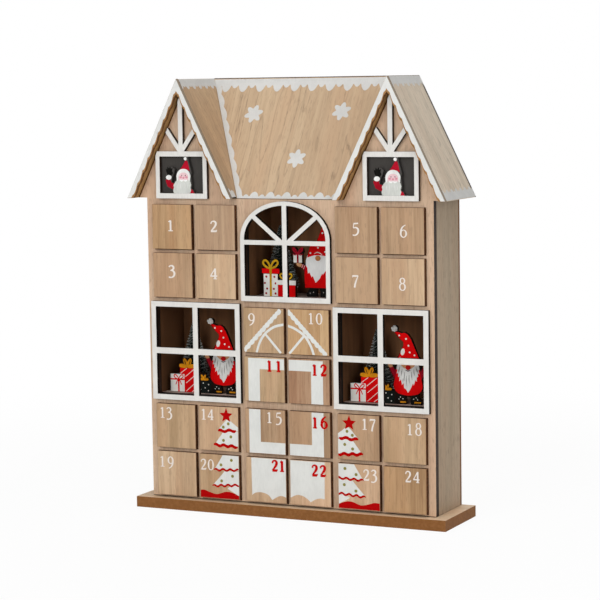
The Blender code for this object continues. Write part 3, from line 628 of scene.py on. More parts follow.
def smooth(points: list | tuple, closed: bool = False, steps: int = 5) -> list[tuple]:
    """Run a smooth curve through points of any number of values.

    Args:
        points: The points that it passes through.
        closed: Whether it comes back to its start.
        steps: Pieces between two points.

    Returns:
        Points along the curve.
    """
    count = len(points)
    spans = count if closed else count - 1
    curve = []
    for i in range(spans):
        if closed:
            near = [points[(i + k) % count] for k in (-1, 0, 1, 2)]
        else:
            near = [points[min(max(i + k, 0), count - 1)] for k in (-1, 0, 1, 2)]
        for step in range(steps):
            t = step / steps
            weights = (
                (-t + 2 * t * t - t**3) / 2,
                (2 - 5 * t * t + 3 * t**3) / 2,
                (t + 4 * t * t - 3 * t**3) / 2,
                (t**3 - t * t) / 2,
            )
            curve.append(tuple(sum(w * value for w, value in zip(weights, values)) for values in zip(*near)))
    if not closed:
        curve.append(tuple(points[-1]))
    return curve


def ribbon(points: list[tuple], closed: bool = False) -> list[Loop]:
    """Outline of a stroke whose width changes along it.

    Args:
        points: Place and width of the stroke at each of its points.
        closed: Whether the stroke is a ring.

    Returns:
        One outline, or two for a ring.
    """
    left, right = [], []
    count = len(points)
    for i, (u, v, width) in enumerate(points):
        if closed:
            before, after = points[i - 1], points[(i + 1) % count]
        else:
            before, after = points[max(i - 1, 0)], points[min(i + 1, count - 1)]
        run = Vector((after[0] - before[0], after[1] - before[1])).normalized()
        left.append((u - run.y * width / 2, v + run.x * width / 2))
        right.append((u + run.y * width / 2, v - run.x * width / 2))
    if closed:
        return [left, right]
    return [left + right[::-1]]


def moved(
    points: Iterable[tuple], u: float, v: float = 0.0, way: float = 1, share: float = 1.0
) -> list[tuple]:
    """Outline or stroke, mirrored where the way is -1, scaled with its widths and then moved by u and v."""
    return [(u + way * p[0] * share, v + p[1] * share, *(width * share for width in p[2:])) for p in points]


def oval(
    u: float, v: float, reach_u: float, reach_v: float | None = None, sides: int = 20, turn: float = 0.0
) -> Loop:
    """Outline of a circle or an ellipse.

    Args:
        u: Middle across.
        v: Middle up.
        reach_u: Radius across.
        reach_v: Radius up, or the same when left out.
        sides: Number of corners.
        turn: Tilt in radians.

    Returns:
        The outline.
    """
    reach_v = reach_u if reach_v is None else reach_v
    cos, sin = math.cos(turn), math.sin(turn)
    loop = []
    for i in range(sides):
        angle = math.tau * i / sides
        a, b = reach_u * math.cos(angle), reach_v * math.sin(angle)
        loop.append((u + a * cos - b * sin, v + a * sin + b * cos))
    return loop


def box_loop(left: float, right: float, low: float, high: float) -> Loop:
    """Outline of a rectangle."""
    return [(left, low), (right, low), (right, high), (left, high)]


def star_loop(u: float, v: float, tip: float, notch: float, points: int = 5) -> Loop:
    """Outline of a star that stands on two of its points.

    Args:
        u: Middle across.
        v: Middle up.
        tip: Radius of the tips.
        notch: Radius of the notches.
        points: Number of tips.

    Returns:
        The outline.
    """
    loop = []
    for i in range(2 * points):
        angle = math.pi / 2 + math.pi * i / points
        radius = notch if i % 2 else tip
        loop.append((u + radius * math.cos(angle), v + radius * math.sin(angle)))
    return loop


def wave(
    start: Point, end: Point, height: float, waves: float, width: float, thick_mid: float = 1.15
) -> list[Loop]:
    """Wavy stroke between two points.

    Args:
        start: One end.
        end: The other end.
        height: How far it swings to each side.
        waves: Number of full swings.
        width: Width of the stroke.
        thick_mid: Factor on the width where the stroke turns over.

    Returns:
        The stroke's outline.
    """
    steps = int(10 * waves)
    points = []
    for i in range(steps + 1):
        t = i / steps
        swing = math.sin(math.tau * waves * t)
        u = start[0] + (end[0] - start[0]) * t
        v = start[1] + (end[1] - start[1]) * t + height * swing
        ends = min(1.0, 0.45 + 6 * min(t, 1 - t))
        points.append((u, v, width * ends * (1 + (thick_mid - 1) * abs(swing))))
    return ribbon(points)


@dataclass(frozen=True)
class Plane:
    """A flat place to paint on: a corner of it, the way up along it and the way that it faces."""

    origin: tuple
    up: tuple = UPWARD
    face: tuple = FORWARD

    def matrix(self) -> Matrix:
        """Transform from across, up and outwards to the row's frame.

        Returns:
            The transform.
        """
        up = Vector(self.up).normalized()
        face = Vector(self.face).normalized()
        right = up.cross(face)
        return Matrix.Translation(Vector(self.origin)) @ Matrix((right, up, face)).transposed().to_4x4()


@dataclass
class PaintStack:
    """Shapes of paint or card laid flat on a plane, in millimetres, lowest layer first.

    The lift keeps a layer off the one below, and the step keeps shapes of one layer off each other's plane.
    """

    name: str
    body: str
    plane: Plane
    clip: tuple | None = None
    film: float = 0.05
    slot: str = "printed_figure"
    lift: float = 0.01
    step: float = 0.0006
    shapes: list = field(default_factory=list)

    def add(self, finish: Paint | Veneer, *loops: Loop, layer: int = 1, thick: float = 0.0) -> None:
        """Lay one shape: an outline with any holes, which may stand out by more than a film of paint."""
        self.shapes.append((finish, loops, layer, thick))

    def line(
        self, finish: Paint, points: list | tuple, layer: int = 1, closed: bool = False, thick: float = 0.0
    ) -> None:
        """Lay one stroke or ring, smoothed through its points and widths."""
        self.add(finish, *ribbon(smooth(points, closed), closed), layer=layer, thick=thick)

    def shape_mesh(self, loops: tuple, low: float, high: float) -> bmesh.types.BMesh:
        """Closed flat body between two heights over the plane.

        Args:
            loops: Outline and holes.
            low: Height of its underside.
            high: Height of its face.

        Returns:
            The body's bmesh.
        """
        bm = bmesh.new()
        edges = []
        for loop in loops:
            corners = [bm.verts.new((u, v, high)) for u, v in loop]
            edges += [bm.edges.new((corners[i - 1], corners[i])) for i in range(len(corners))]
        bmesh.ops.triangle_fill(bm, edges=edges, use_beauty=True, use_dissolve=False)
        if not bm.faces:
            raise ValueError(f"{self.name}: an outline crosses itself near {loops[0][0]}")
        if self.clip:
            left, right, bottom, top = self.clip
            sides = (((left, 0), (-1, 0)), ((right, 0), (1, 0)), ((0, bottom), (0, -1)), ((0, top), (0, 1)))
            for point, outward in sides:
                bmesh.ops.bisect_plane(
                    bm, geom=bm.verts[:] + bm.edges[:] + bm.faces[:], dist=1e-5, plane_co=(*point, 0),
                    plane_no=(*outward, 0), clear_outer=True)
        grown = bmesh.ops.extrude_face_region(bm, geom=bm.faces[:])["geom"]
        moving = [item for item in grown if isinstance(item, bmesh.types.BMVert)]
        bmesh.ops.translate(bm, verts=moving, vec=(0, 0, low - high))
        bmesh.ops.recalc_face_normals(bm, faces=bm.faces)
        return bm

    def build(self) -> bpy.types.Object:
        """Build all shapes as one piece that rides on its body.

        Returns:
            The piece.
        """
        whole = bmesh.new()
        finishes: list[Paint | Veneer] = []
        for index, (finish, loops, layer, thick) in enumerate(self.shapes):
            if finish not in finishes:
                finishes.append(finish)
            low = (layer - 1) * self.film + self.lift
            high = layer * self.film + thick + self.step * index
            shape = self.shape_mesh(loops, low, high)
            for face in shape.faces:
                face.material_index = finishes.index(finish)
            part = bpy.data.meshes.new("part")
            shape.to_mesh(part)
            shape.free()
            whole.from_mesh(part)
            bpy.data.meshes.remove(part)
        bmesh.ops.scale(whole, vec=(MM, MM, MM), verts=whole.verts)
        bmesh.ops.transform(whole, matrix=self.plane.matrix(), verts=whole.verts)
        return place_piece(self.name, whole, finishes, self.body)


def place_piece(
    name: str, bm: bmesh.types.BMesh, finishes: Iterable, body: str
) -> bpy.types.Object:
    """Link a finished bmesh as a piece of the object.

    Args:
        name: The piece's name.
        bm: Its shape in the row's frame.
        finishes: Its finishes in slot order.
        body: The body that it rides on.

    Returns:
        The piece.
    """
    mesh = bpy.data.meshes.new(name)
    bm.to_mesh(mesh)
    bm.free()
    for finish in finishes:
        mesh.materials.append(material_of(finish))
    piece = bpy.data.objects.new(name, mesh)
    bpy.context.scene.collection.objects.link(piece)
    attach(piece, body)
    LOG.info("%s: %d faces", name, len(mesh.polygons))
    return piece


def dress(node: str, finish: object) -> None:
    """Give a carried-over node its material.

    Args:
        node: The node's name.
        finish: Its finish.
    """
    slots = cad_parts[node].data.materials
    if not slots:
        slots.append(None)
    for index in range(len(slots)):
        slots[index] = material_of(finish)


FACADE_Y, FACADE_BACK_Y = (corner[1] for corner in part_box("front_panel"))
TRIM_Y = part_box("drawer_01")[0][1]


@dataclass
class Carcass:
    """The house's boards: veneers outside, dark boards inside and white frames."""

    facade: Veneer = Veneer(
        "facade_veneer", "d0b498", "b4947a", back="6b472c", contrast=0.9, edge="1c110a", edge_light="3a2616")
    # Depth behind the facade that the painted shade on inner faces reaches.
    soot_reach: float = 0.009
    # The corner and foot lines are scorch and painted contact shade where boards meet.
    corner_scorch: float = 0.0026
    foot_line: float = 0.0006
    ridge_scorch: float = 0.0009
    rear_scorch: float = 0.0030
    scorch_fade: float = 0.0004

    def dress_walls(self) -> None:
        """Dress the facade, side walls, back and base."""
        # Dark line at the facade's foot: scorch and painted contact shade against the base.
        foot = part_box("front_panel")[0][2] + self.foot_line
        dress("front_panel", replace(self.facade, rim=((0, 0, -1), -foot, 0.0002)))
        for way, side in SIDES:
            node = side + "_side_wall"
            # Dark rim at the side wall's front: scorch and painted contact shade against the facade.
            rim = (FORWARD, -(FACADE_BACK_Y + self.corner_scorch), 0.0003)
            dress(node, Veneer(
                node + "_veneer", "b8a48c", "97866f", face=(way, 0, 0), edge="2c1707", back="6b472c",
                seed=way, contrast=0.7, growth_share=0.5, rim=rim,
                soot_until=FACADE_BACK_Y + self.soot_reach))
        dress("back_panel", InnerBoard("back_panel_board", outside="b59873"))
        dress("base_board", Veneer(
            "base_veneer", "e2c6a6", "c8aa88", along=RIGHTWARD, face=UPWARD, edge="7b4d1f",
            edge_light="86572a"))

    def dress_inside(self) -> None:
        """Dress the boards behind the facade."""
        # Painted shade turns the inner boards near black just behind the facade.
        inner = InnerBoard("inner_board", soot_until=FACADE_BACK_Y + self.soot_reach)
        starts = ("shelf_", "attic", "middle_", "centre_", "upper_")
        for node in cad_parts:
            if node.startswith(starts) or node.endswith("_upright"):
                dress(node, inner)

    def dress_roof(self) -> None:
        """Dress the sloping boards, each with its grain up its own slope."""
        half, rise = half_of("left_bargeboard")[0], 2 * half_of("left_bargeboard")[2]
        depth = 2 * half_of("main_roof_board")[1]
        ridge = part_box("main_roof_board")[1][2]
        burnt = {"edge": "241509", "edge_light": "4a3018"}
        rim = (UPWARD, ridge - self.ridge_scorch, self.scorch_fade)
        dress("main_roof_board", Veneer(
            "main_roof_veneer", "c9b091", "a78b6e", along=(0, depth, rise), face=(0, -rise, depth),
            back="4a3524", seed=0.7, contrast=0.6, rings=34.0, growth_share=0.62, growth_from=0.9, broken=0.6,
            drift=0.28, pore_share=0.2, rim=rim, **burnt))
        for side, name in SIDES:
            for way, part in ((side, "outer"), (-side, "inner")):
                light, dark = ("dccdb9", "b6a793") if part == "outer" else ("c5a784", "a3876a")
                node = f"{name}_gable_{part}_board"
                rim = (REARWARD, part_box(node)[1][1] - self.rear_scorch, self.scorch_fade)
                dress(node, Veneer(
                    f"{name}_{part}_veneer", light, dark, along=(-way * half, 0, rise),
                    face=(way * rise, 0, half), back="b68c58", seed=side + way * 0.3, contrast=0.75,
                    growth_share=0.45, drift=0.15, rim=rim, **burnt))

    def dress_trim(self) -> None:
        """Dress the bargeboards, window frames, dormer frames and figure boards."""
        for _, side in SIDES:
            dress(side + "_bargeboard", Veneer(
                side + "_barge_wood", "a87c4c", "85602f", edge="6b4724", edge_light="8a6136",
                upper_edge="8f8170"))
            dress(side + "_dormer_frame", DormerTrim(side + "_dormer_trim", side + "_dormer_frame"))
        for node in ("left_window_frame", "right_window_frame", "arch_window_frame"):
            dress(node, TRIM_WHITE)
        for node in ("left_window_figures", "right_window_figures", "arch_gifts", "arch_gnome"):
            dress(node, FIGURE_BOARD)

    def build(self) -> None:
        """Dress every board of the house."""
        self.dress_walls()
        self.dress_inside()
        self.dress_roof()
        self.dress_trim()


def gable_front(side: str) -> tuple[float, float, float, float]:
    """Triangle of the front panel inside one gable.

    Args:
        side: "left" or "right".

    Returns:
        Its middle, its half width at the eave, the eave's height and its top, in millimetres.
    """
    low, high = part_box(side + "_bargeboard")
    middle, eave = middle_of(side + "_bargeboard")[0], low[2]
    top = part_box("front_panel")[1][2]
    slope = (high[2] - eave) / (high[0] - middle)
    return middle / MM, (top - eave) / slope / MM, eave / MM, top / MM


@dataclass
class FrontCorners:
    """Small corners that close the outer eaves, flush with the front panel and in its veneer."""

    finish: Veneer = Carcass.facade

    def build(self) -> None:
        """Build both corners from the wall out to the gable's slope."""
        thickness = (FACADE_BACK_Y - FACADE_Y) / MM
        for way, side in SIDES:
            middle, half, eave, top = gable_front(side)
            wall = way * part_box("front_panel")[1][0] / MM
            head = eave + (top - eave) * (1 - abs(wall - middle) / half)
            plane = Plane((0.0, FACADE_BACK_Y, 0.0))
            stack = PaintStack(side + "_front_corner", HOUSE, plane, film=thickness, slot="facade_veneer")
            stack.add(self.finish, [(wall, eave), (middle + way * half, eave), (wall, head)])
            stack.build()


STROKES = {
    "0": (((0.65, 4.9, 1.25), (1.3, 8.4, 0.8), (3.1, 9.65, 0.6), (4.9, 8.4, 0.8), (5.55, 4.9, 1.25),
           (4.9, 1.4, 0.8),
           (3.1, 0.15, 0.6), (1.3, 1.4, 0.8)),),
    "1": (((1.2, 8.5, 0.5), (2.3, 9.0, 0.8), (3.2, 9.7, 0.9)),
          ((3.1, 9.7, 1.15), (3.1, 5.0, 1.15), (3.1, 0.2, 1.15)),
          ((1.1, 0.25, 0.5), (3.1, 0.25, 0.6), (5.1, 0.25, 0.5))),
    "2": (((0.7, 7.2, 0.8), (1.1, 8.9, 0.7), (2.8, 9.7, 0.8), (4.5, 8.9, 1.1), (4.8, 7.0, 1.25),
           (3.9, 4.8, 1.1),
           (2.2, 2.6, 0.8), (0.7, 0.7, 0.6)), ((0.5, 0.55, 1.1), (3.0, 0.55, 1.1), (5.3, 0.6, 1.0)),
          ((5.1, 0.5, 0.8), (5.6, 2.0, 0.4))),
    "3": (((0.8, 8.5, 0.8), (2.0, 9.7, 0.7), (3.8, 9.6, 1.0), (4.8, 8.2, 1.2), (4.2, 6.5, 1.0),
           (2.2, 5.3, 0.5)),
          ((2.0, 5.4, 0.5), (4.2, 5.0, 1.0), (5.4, 3.0, 1.3), (4.9, 0.5, 1.2), (3.0, -1.1, 0.8),
           (0.5, -0.9, 1.0))),
    "4": (((4.1, 9.7, 0.6), (2.2, 6.2, 0.6), (0.2, 2.8, 0.6)),
          ((0.0, 2.75, 0.8), (3.0, 2.75, 0.8), (5.9, 2.75, 0.8)),
          ((4.2, 9.8, 1.2), (4.2, 5.0, 1.2), (4.2, 0.2, 1.2)),
          ((2.7, 0.2, 0.45), (4.2, 0.2, 0.5), (5.7, 0.2, 0.45))),
    "5": (((1.5, 9.35, 1.0), (3.4, 9.4, 1.0), (5.5, 9.7, 0.9)),
          ((1.6, 9.5, 0.6), (1.4, 7.5, 0.6), (1.2, 5.4, 0.6)),
          ((1.2, 5.3, 0.5), (3.2, 5.9, 0.9), (5.2, 4.7, 1.25), (5.5, 2.2, 1.3), (4.4, 0.0, 1.1),
           (2.6, -1.0, 0.8),
           (0.5, -0.8, 0.9))),
    "6": (((0.8, 3.4, 1.2), (1.5, 5.7, 0.9), (3.3, 6.5, 0.6), (5.0, 5.5, 0.9), (5.6, 3.3, 1.25),
           (4.9, 1.1, 0.9),
           (3.2, 0.1, 0.6), (1.5, 1.1, 0.9)), ((0.85, 3.4, 1.15), (1.1, 6.4, 1.15), (2.5, 9.2, 0.9),
                                               (5.1, 11.0, 0.45))),
    "7": (((0.6, 9.3, 1.1), (3.0, 9.3, 1.1), (5.7, 9.35, 1.0)), ((0.9, 9.5, 0.7), (0.6, 7.9, 0.45)),
          ((5.6, 9.3, 0.7), (4.4, 6.4, 0.85), (3.1, 2.6, 1.15), (2.4, -1.1, 1.3))),
    "8": (((1.2, 8.5, 1.0), (1.7, 10.2, 0.8), (3.1, 10.9, 0.55), (4.5, 10.2, 0.8), (5.0, 8.5, 1.0),
           (4.5, 6.9, 0.8),
           (3.1, 6.2, 0.6), (1.7, 6.9, 0.8)), ((0.75, 3.1, 1.15), (1.4, 5.3, 0.85), (3.1, 6.2, 0.6),
                                               (4.8, 5.3, 0.85),
           (5.45, 3.1, 1.15), (4.8, 1.0, 0.85), (3.1, 0.1, 0.6), (1.4, 1.0, 0.85))),
}
RINGED = {("0", 0), ("6", 0), ("8", 0), ("8", 1), ("9", 0)}


NUMBER_PLACES = {
    1: (-116.7, 260.1), 2: (-71.5, 260.1), 3: (-116.5, 218.2), 4: (-72.4, 216.7), 5: (70.4, 260.5),
    6: (116.3, 258.4),
    7: (69.6, 214.0), 8: (114.9, 211.6), 9: (-34.5, 176.4), 10: (25.4, 178.7, 33.5), 11: (-17.1, 133.8, -7.9),
    12: (28.3, 132.2, 37.2), 13: (-129.5, 85.1, -122.5), 14: (-85.9, 85.8, -78.6), 15: (-18.0, 86.4, -8.8),
    16: (27.9, 84.2, 36.9), 17: (76.9, 85.6, 84.6), 18: (120.6, 83.3, 128.8), 19: (-130.7, 38.8, -121.9),
    20: (-87.0, 38.8, -79.5), 21: (-13.3, 42.1, -6.0), 22: (27.0, 40.4, 35.2), 23: (78.0, 39.6, 85.3),
    24: (118.6, 40.9, 126.5),
}
RED_NUMBERS = {11, 12, 16, 21, 22}


PORCH_SLOPES = ((-1, (-42.9, 152.3), (-5.6, 190.6)), (1, (40.4, 150.9), (2.2, 190.2)))
FANLIGHT_ARCS = (
    ((-1.5, 177.0, 2.3), (-4.5, 176.7, 2.3), (-12.4, 174.4, 2.3), (-20.8, 168.4, 2.3), (-26.6, 160.1, 2.2),
     (-29.9, 150.6, 2.1)),
    ((-1.0, 176.9, 2.3), (1.4, 176.4, 2.3), (8.9, 173.9, 2.3), (18.3, 168.0, 2.4), (24.3, 159.6, 2.3),
     (27.9, 150.2, 2.2)),
)
FANLIGHT_BARS = (((-20.9, 168.0, 2.1), (-5.3, 151.0, 2.2)), ((18.0, 167.4, 2.2), (3.2, 150.9, 2.2)))
STEP_HEAPS = (
    ((36.3, 19.5), (32.4, 20.0), (27.0, 18.6), (22.5, 15.8)),
    ((22.4, 15.8), (19.4, 18.4), (14.6, 21.0), (8.6, 21.6), (2.6, 18.9), (-0.9, 17.6)),
    ((-1.1, 17.6), (-5.0, 19.2), (-9.6, 19.0), (-16.4, 15.2)),
    ((-16.6, 15.2), (-20.6, 19.6), (-27.2, 21.5), (-33.4, 20.8), (-37.0, 18.4)),
)
TREE_TIERS = (
    smooth(((-61.6, 86.9), (-64.4, 84.6), (-67.4, 81.2), (-70.9, 76.4), (-62.0, 76.2), (-49.0, 76.8),
            (-49.4, 79.2),
            (-55.4, 83.6), (-58.6, 86.0)), True, 3),
    ((-65.6, 75.6), (-69.6, 70.4), (-75.0, 63.2), (-50.2, 62.4), (-50.2, 76.0)),
    ((-65.4, 56.0), (-70.4, 48.0), (-75.9, 39.6), (-49.0, 39.8), (-49.0, 56.0)),
    ((-65.2, 38.6), (-71.0, 32.0), (-78.0, 24.8), (-49.0, 25.4), (-49.0, 39.2)),
    smooth(((-61.8, 23.4), (-59.8, 21.0), (-55.0, 18.6), (-49.0, 15.6), (-46.0, 20.0), (-49.0, 26.4)), True,
           3),
)
SWAGS = (
    ((-71.4, 76.0), (-52.6, 77.1), 0.75, 2.0, 2.6), ((-76.0, 62.9), (-51.2, 62.0), 0.7, 3.0, 2.6),
    ((-76.4, 39.4), (-49.8, 40.4), 0.8, 3.5, 1.75), ((-78.2, 24.2), (-49.2, 26.4), 0.8, 4.0, 1.75),
)
BAUBLES = (
    (-60.5, 83.1), (-65.7, 79.8), (-58.1, 71.1), (-65.8, 67.4), (-58.0, 49.2), (-68.9, 44.3), (-57.1, 34.4),
    (-68.5, 29.3),
)
MOUND = (
    (-92.0, 19.4), (-86.6, 19.8), (-81.6, 18.2), (-74.5, 16.6), (-70.2, 17.5), (-65.2, 19.2), (-60.2, 19.4),
    (-55.3, 18.1), (-49.0, 15.6),
)


@dataclass
class DrawerPrints:
    """Numbers and the house-front pictures printed across the drawer fronts.

    The numerals are of this maker's own drawing and 10 mm tall; 3, 5, 7 and 9 hang and 6 and 8 rise.
    """

    margin: float = 0.35
    hair: float = 0.1
    digit_middle: float = 3.1
    digit_line: float = 9.8
    porch_width: float = 1.6
    scallop: float = 1.25
    scallop_pitch: float = 5.6
    scallop_roundness: float = 0.8
    inner_width: float = 1.5
    waver: float = 0.25
    waver_rate: float = 1.7
    bauble: float = 1.45

    def stack(self, number: int) -> PaintStack:
        """Empty stack on one drawer's front, cut off just inside its edges.

        Args:
            number: The drawer's number.

        Returns:
            The stack.
        """
        node = f"drawer_{number:02d}"
        low, high = ([value / MM for value in corner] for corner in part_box(node))
        clip = (low[0] + self.margin, high[0] - self.margin, low[2] + self.margin, high[2] - self.margin)
        plane = Plane((0.0, TRIM_Y, 0.0))
        return PaintStack(f"print_{number:02d}", node + "_body", plane, clip, slot="drawer_veneer")

    def lay_digit(
        self, stack: PaintStack, digit: str, place: Point, finish: Paint, weight: float, spread: float
    ) -> None:
        """Print one digit, a 9 being a 6 turned over.

        Args:
            stack: Where it is printed.
            digit: The digit.
            place: Its middle and the line that it stands on.
            finish: Its paint.
            weight: Factor on the strokes' widths.
            spread: Factor on the digit's width.
        """
        for index, stroke in enumerate(STROKES["6" if digit == "9" else digit]):
            if digit == "9":
                stroke = [(2 * self.digit_middle - a, self.digit_line - b, ink) for a, b, ink in stroke]
            centred = [((a - self.digit_middle) * spread, b, ink * weight) for a, b, ink in stroke]
            placed = moved(centred, *place)
            stack.line(finish, placed, 3, closed=(digit, index) in RINGED)

    def lay_number(self, stack: PaintStack, number: int) -> None:
        """Print a drawer's number.

        Args:
            stack: The drawer's stack.
            number: The number.
        """
        first, line, *more = NUMBER_PLACES[number]
        if number in RED_NUMBERS:
            finish, weight, spread = NUMBER_RED, 2.2, 1.0
        else:
            finish, weight = NUMBER_WHITE, 1.6 if number < 5 else 1.35
            spread = 1.22 if number < 5 else 1.08 if number < 10 else 1.0
        for digit, u in zip(str(number), [first, *more]):
            self.lay_digit(stack, digit, (u, line), finish, weight, spread)

    def lay_gable(self, stack: PaintStack) -> None:
        """Print the porch gable with its arched fanlight on drawers 9 and 10.

        Args:
            stack: The drawer's stack.
        """
        steps = 60
        for way, foot, top in PORCH_SLOPES:
            run = Vector((foot[0] - top[0], foot[1] - top[1]))
            length = run.length
            run.normalize()
            out = Vector((run.y * way, -run.x * way))
            inner, outer = [], []
            for i in range(steps + 1):
                t = length * i / steps
                at = Vector(top) + run * t
                bulge = abs(math.sin(math.pi * t / self.scallop_pitch)) ** self.scallop_roundness
                width = self.inner_width + self.waver * math.sin(t * self.waver_rate)
                inner.append(tuple(at - out * width))
                outer.append(tuple(at + out * (self.porch_width + self.scallop * bulge)))
            stack.add(WHITE_PRINT, inner + outer[::-1])
        for arc in FANLIGHT_ARCS:
            stack.line(WHITE_PRINT, arc)
        for bar in FANLIGHT_BARS:
            stack.add(WHITE_PRINT, *ribbon(bar))

    def lay_door(self, stack: PaintStack) -> None:
        """Print the door surround and the snowy step below it.

        Args:
            stack: The drawer's stack.
        """
        stack.add(WHITE_PRINT, box_loop(-38.8, 36.4, 57.9, 145.4), box_loop(-27.2, 24.6, 68.4, 135.5))
        step = [(-37.4, 53.3), (36.8, 53.3), (36.4, 19.6)]
        for heap in STEP_HEAPS:
            step += smooth(heap)
        stack.add(WHITE_PRINT, step)

    def lay_tree(self, stack: PaintStack, way: int) -> None:
        """Print one tree with garlands, baubles, a star and the snow mound at its foot.

        Args:
            stack: The drawer's stack.
            way: 1 for the left-hand tree, -1 for its mirror image on the right.
        """
        shapes = [(WHITE_PRINT, 1, tier) for tier in TREE_TIERS]
        shapes += [(PRINT_RED, 2, loop) for swag in SWAGS for loop in wave(*swag)]
        shapes += [(OLIVE_GOLD, 2, oval(u, v, self.bauble, sides=12)) for u, v in BAUBLES]
        shapes.append((PRINT_RED, 2, star_loop(-62.6, 90.6, 7.0, 3.2)))
        shapes.append((PRINT_RED, 2, smooth(MOUND) + [(-49.0, 12.0), (-92.0, 12.0)]))
        for finish, layer, loop in shapes:
            stack.add(finish, moved(loop, min(way, 0.0), way=way), layer=layer)

    def reaches(self, loop: Loop, clip: tuple) -> bool:
        """Whether an outline's box reaches into a clip rectangle by more than a hair.

        Args:
            loop: The outline.
            clip: Left, right, bottom and top.

        Returns:
            True where they overlap.
        """
        us, vs = zip(*loop)
        left, right, bottom, top = clip
        across = max(us) > left + self.hair and min(us) < right - self.hair
        return across and max(vs) > bottom + self.hair and min(vs) < top - self.hair

    def build(self) -> None:
        """Print all drawers."""
        for number in NUMBER_PLACES:
            dress_drawer(number)
            stack = self.stack(number)
            if number in (9, 10):
                self.lay_gable(stack)
            if number in (11, 12, 15, 16, 21, 22):
                self.lay_door(stack)
            if number in (14, 20):
                self.lay_tree(stack, 1)
            if number in (17, 23):
                self.lay_tree(stack, -1)
            self.lay_number(stack, number)
            stack.shapes = [shape for shape in stack.shapes if self.reaches(shape[1][0], stack.clip)]
            stack.build()


class Leaf(Enum):
    """Leaves of veneer that the drawer fronts are cut from: the grain's light and dark tone."""

    HONEY = ("b8966f", "957350")
    BROWN = ("b69777", "97795c")
    ROSY = ("b18f71", "89654a")
    GREYED = ("bca284", "9c8066")
    NATURAL = ("c0a280", "a38664")
    GOLDEN = ("c6a67d", "a8825a")
    PALE = ("caad8c", "ae9071")
    BLOND = ("d6b798", "bc9a7a")


FRONTS_OF_LEAF = {
    Leaf.HONEY: (1, 24),
    Leaf.BROWN: (3, 5, 6, 7, 15, 16, 17),
    Leaf.ROSY: (12,),
    Leaf.GREYED: (2,),
    Leaf.NATURAL: (9, 11, 13, 18, 20),
    Leaf.GOLDEN: (10,),
    Leaf.PALE: (4, 8, 14, 19, 21),
    Leaf.BLOND: (22, 23),
}


def dress_drawer(number: int) -> None:
    """Give a drawer its own piece of veneer.

    Args:
        number: The drawer's number.
    """
    node = f"drawer_{number:02d}"
    light, dark = next(leaf.value for leaf, fronts in FRONTS_OF_LEAF.items() if number in fronts)
    dress(node, DrawerVeneer(
        f"{node}_veneer", light, dark, edge="3f200a", edge_light="643c17", seed=number * 0.37, contrast=1.5,
        pore_share=0.2, middle=middle_of(node), half=half_of(node), board_back=FACADE_Y - 0.0002))


@dataclass
class OpeningScorch:
    """Thin brown margins round every drawer opening and along the gables' slopes: laser scorch, with painted
    shadow of each drawer front below and to its right and painted contact shade along the slopes.
    """

    inner: float = 0.9
    left: float = 0.15
    right: float = 0.4
    below: float = 0.95
    slope_line: float = 1.2
    film: float = 0.03

    def build(self) -> None:
        """Lay a ring of scorch and painted shadow on the facade behind each drawer's rim, and a line of
        scorch and painted contact shade inside each gable.
        """
        plane = Plane((0.0, FACADE_Y, 0.0))
        stack = PaintStack("facade_scorch", HOUSE, plane, film=self.film, slot="facade_veneer")
        for number in NUMBER_PLACES:
            low, high = (corner / MM for corner in map(Vector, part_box(f"drawer_{number:02d}")))
            # Wider below and to the right, where the painted shadow of the drawer front falls.
            outer = box_loop(low.x - self.left, high.x + self.right, low.z - self.below, high.z)
            inner = box_loop(low.x + self.inner, high.x - self.inner, low.z + self.inner, high.z - self.inner)
            stack.add(SCORCH_AND_SHADOW, outer, inner)
        for _, side in SIDES:
            # Scorch and painted contact shade where the slope's underside meets the facade.
            middle, half, eave, top = gable_front(side)
            drop = self.slope_line * (top - eave) / half
            within = half - self.slope_line
            line = [(middle - half, eave), (middle, top), (middle + half, eave)]
            line += [(middle + within, eave), (middle, top - drop), (middle - within, eave)]
            stack.add(SLOPE_SCORCH_AND_SHADE, line)
        stack.build()


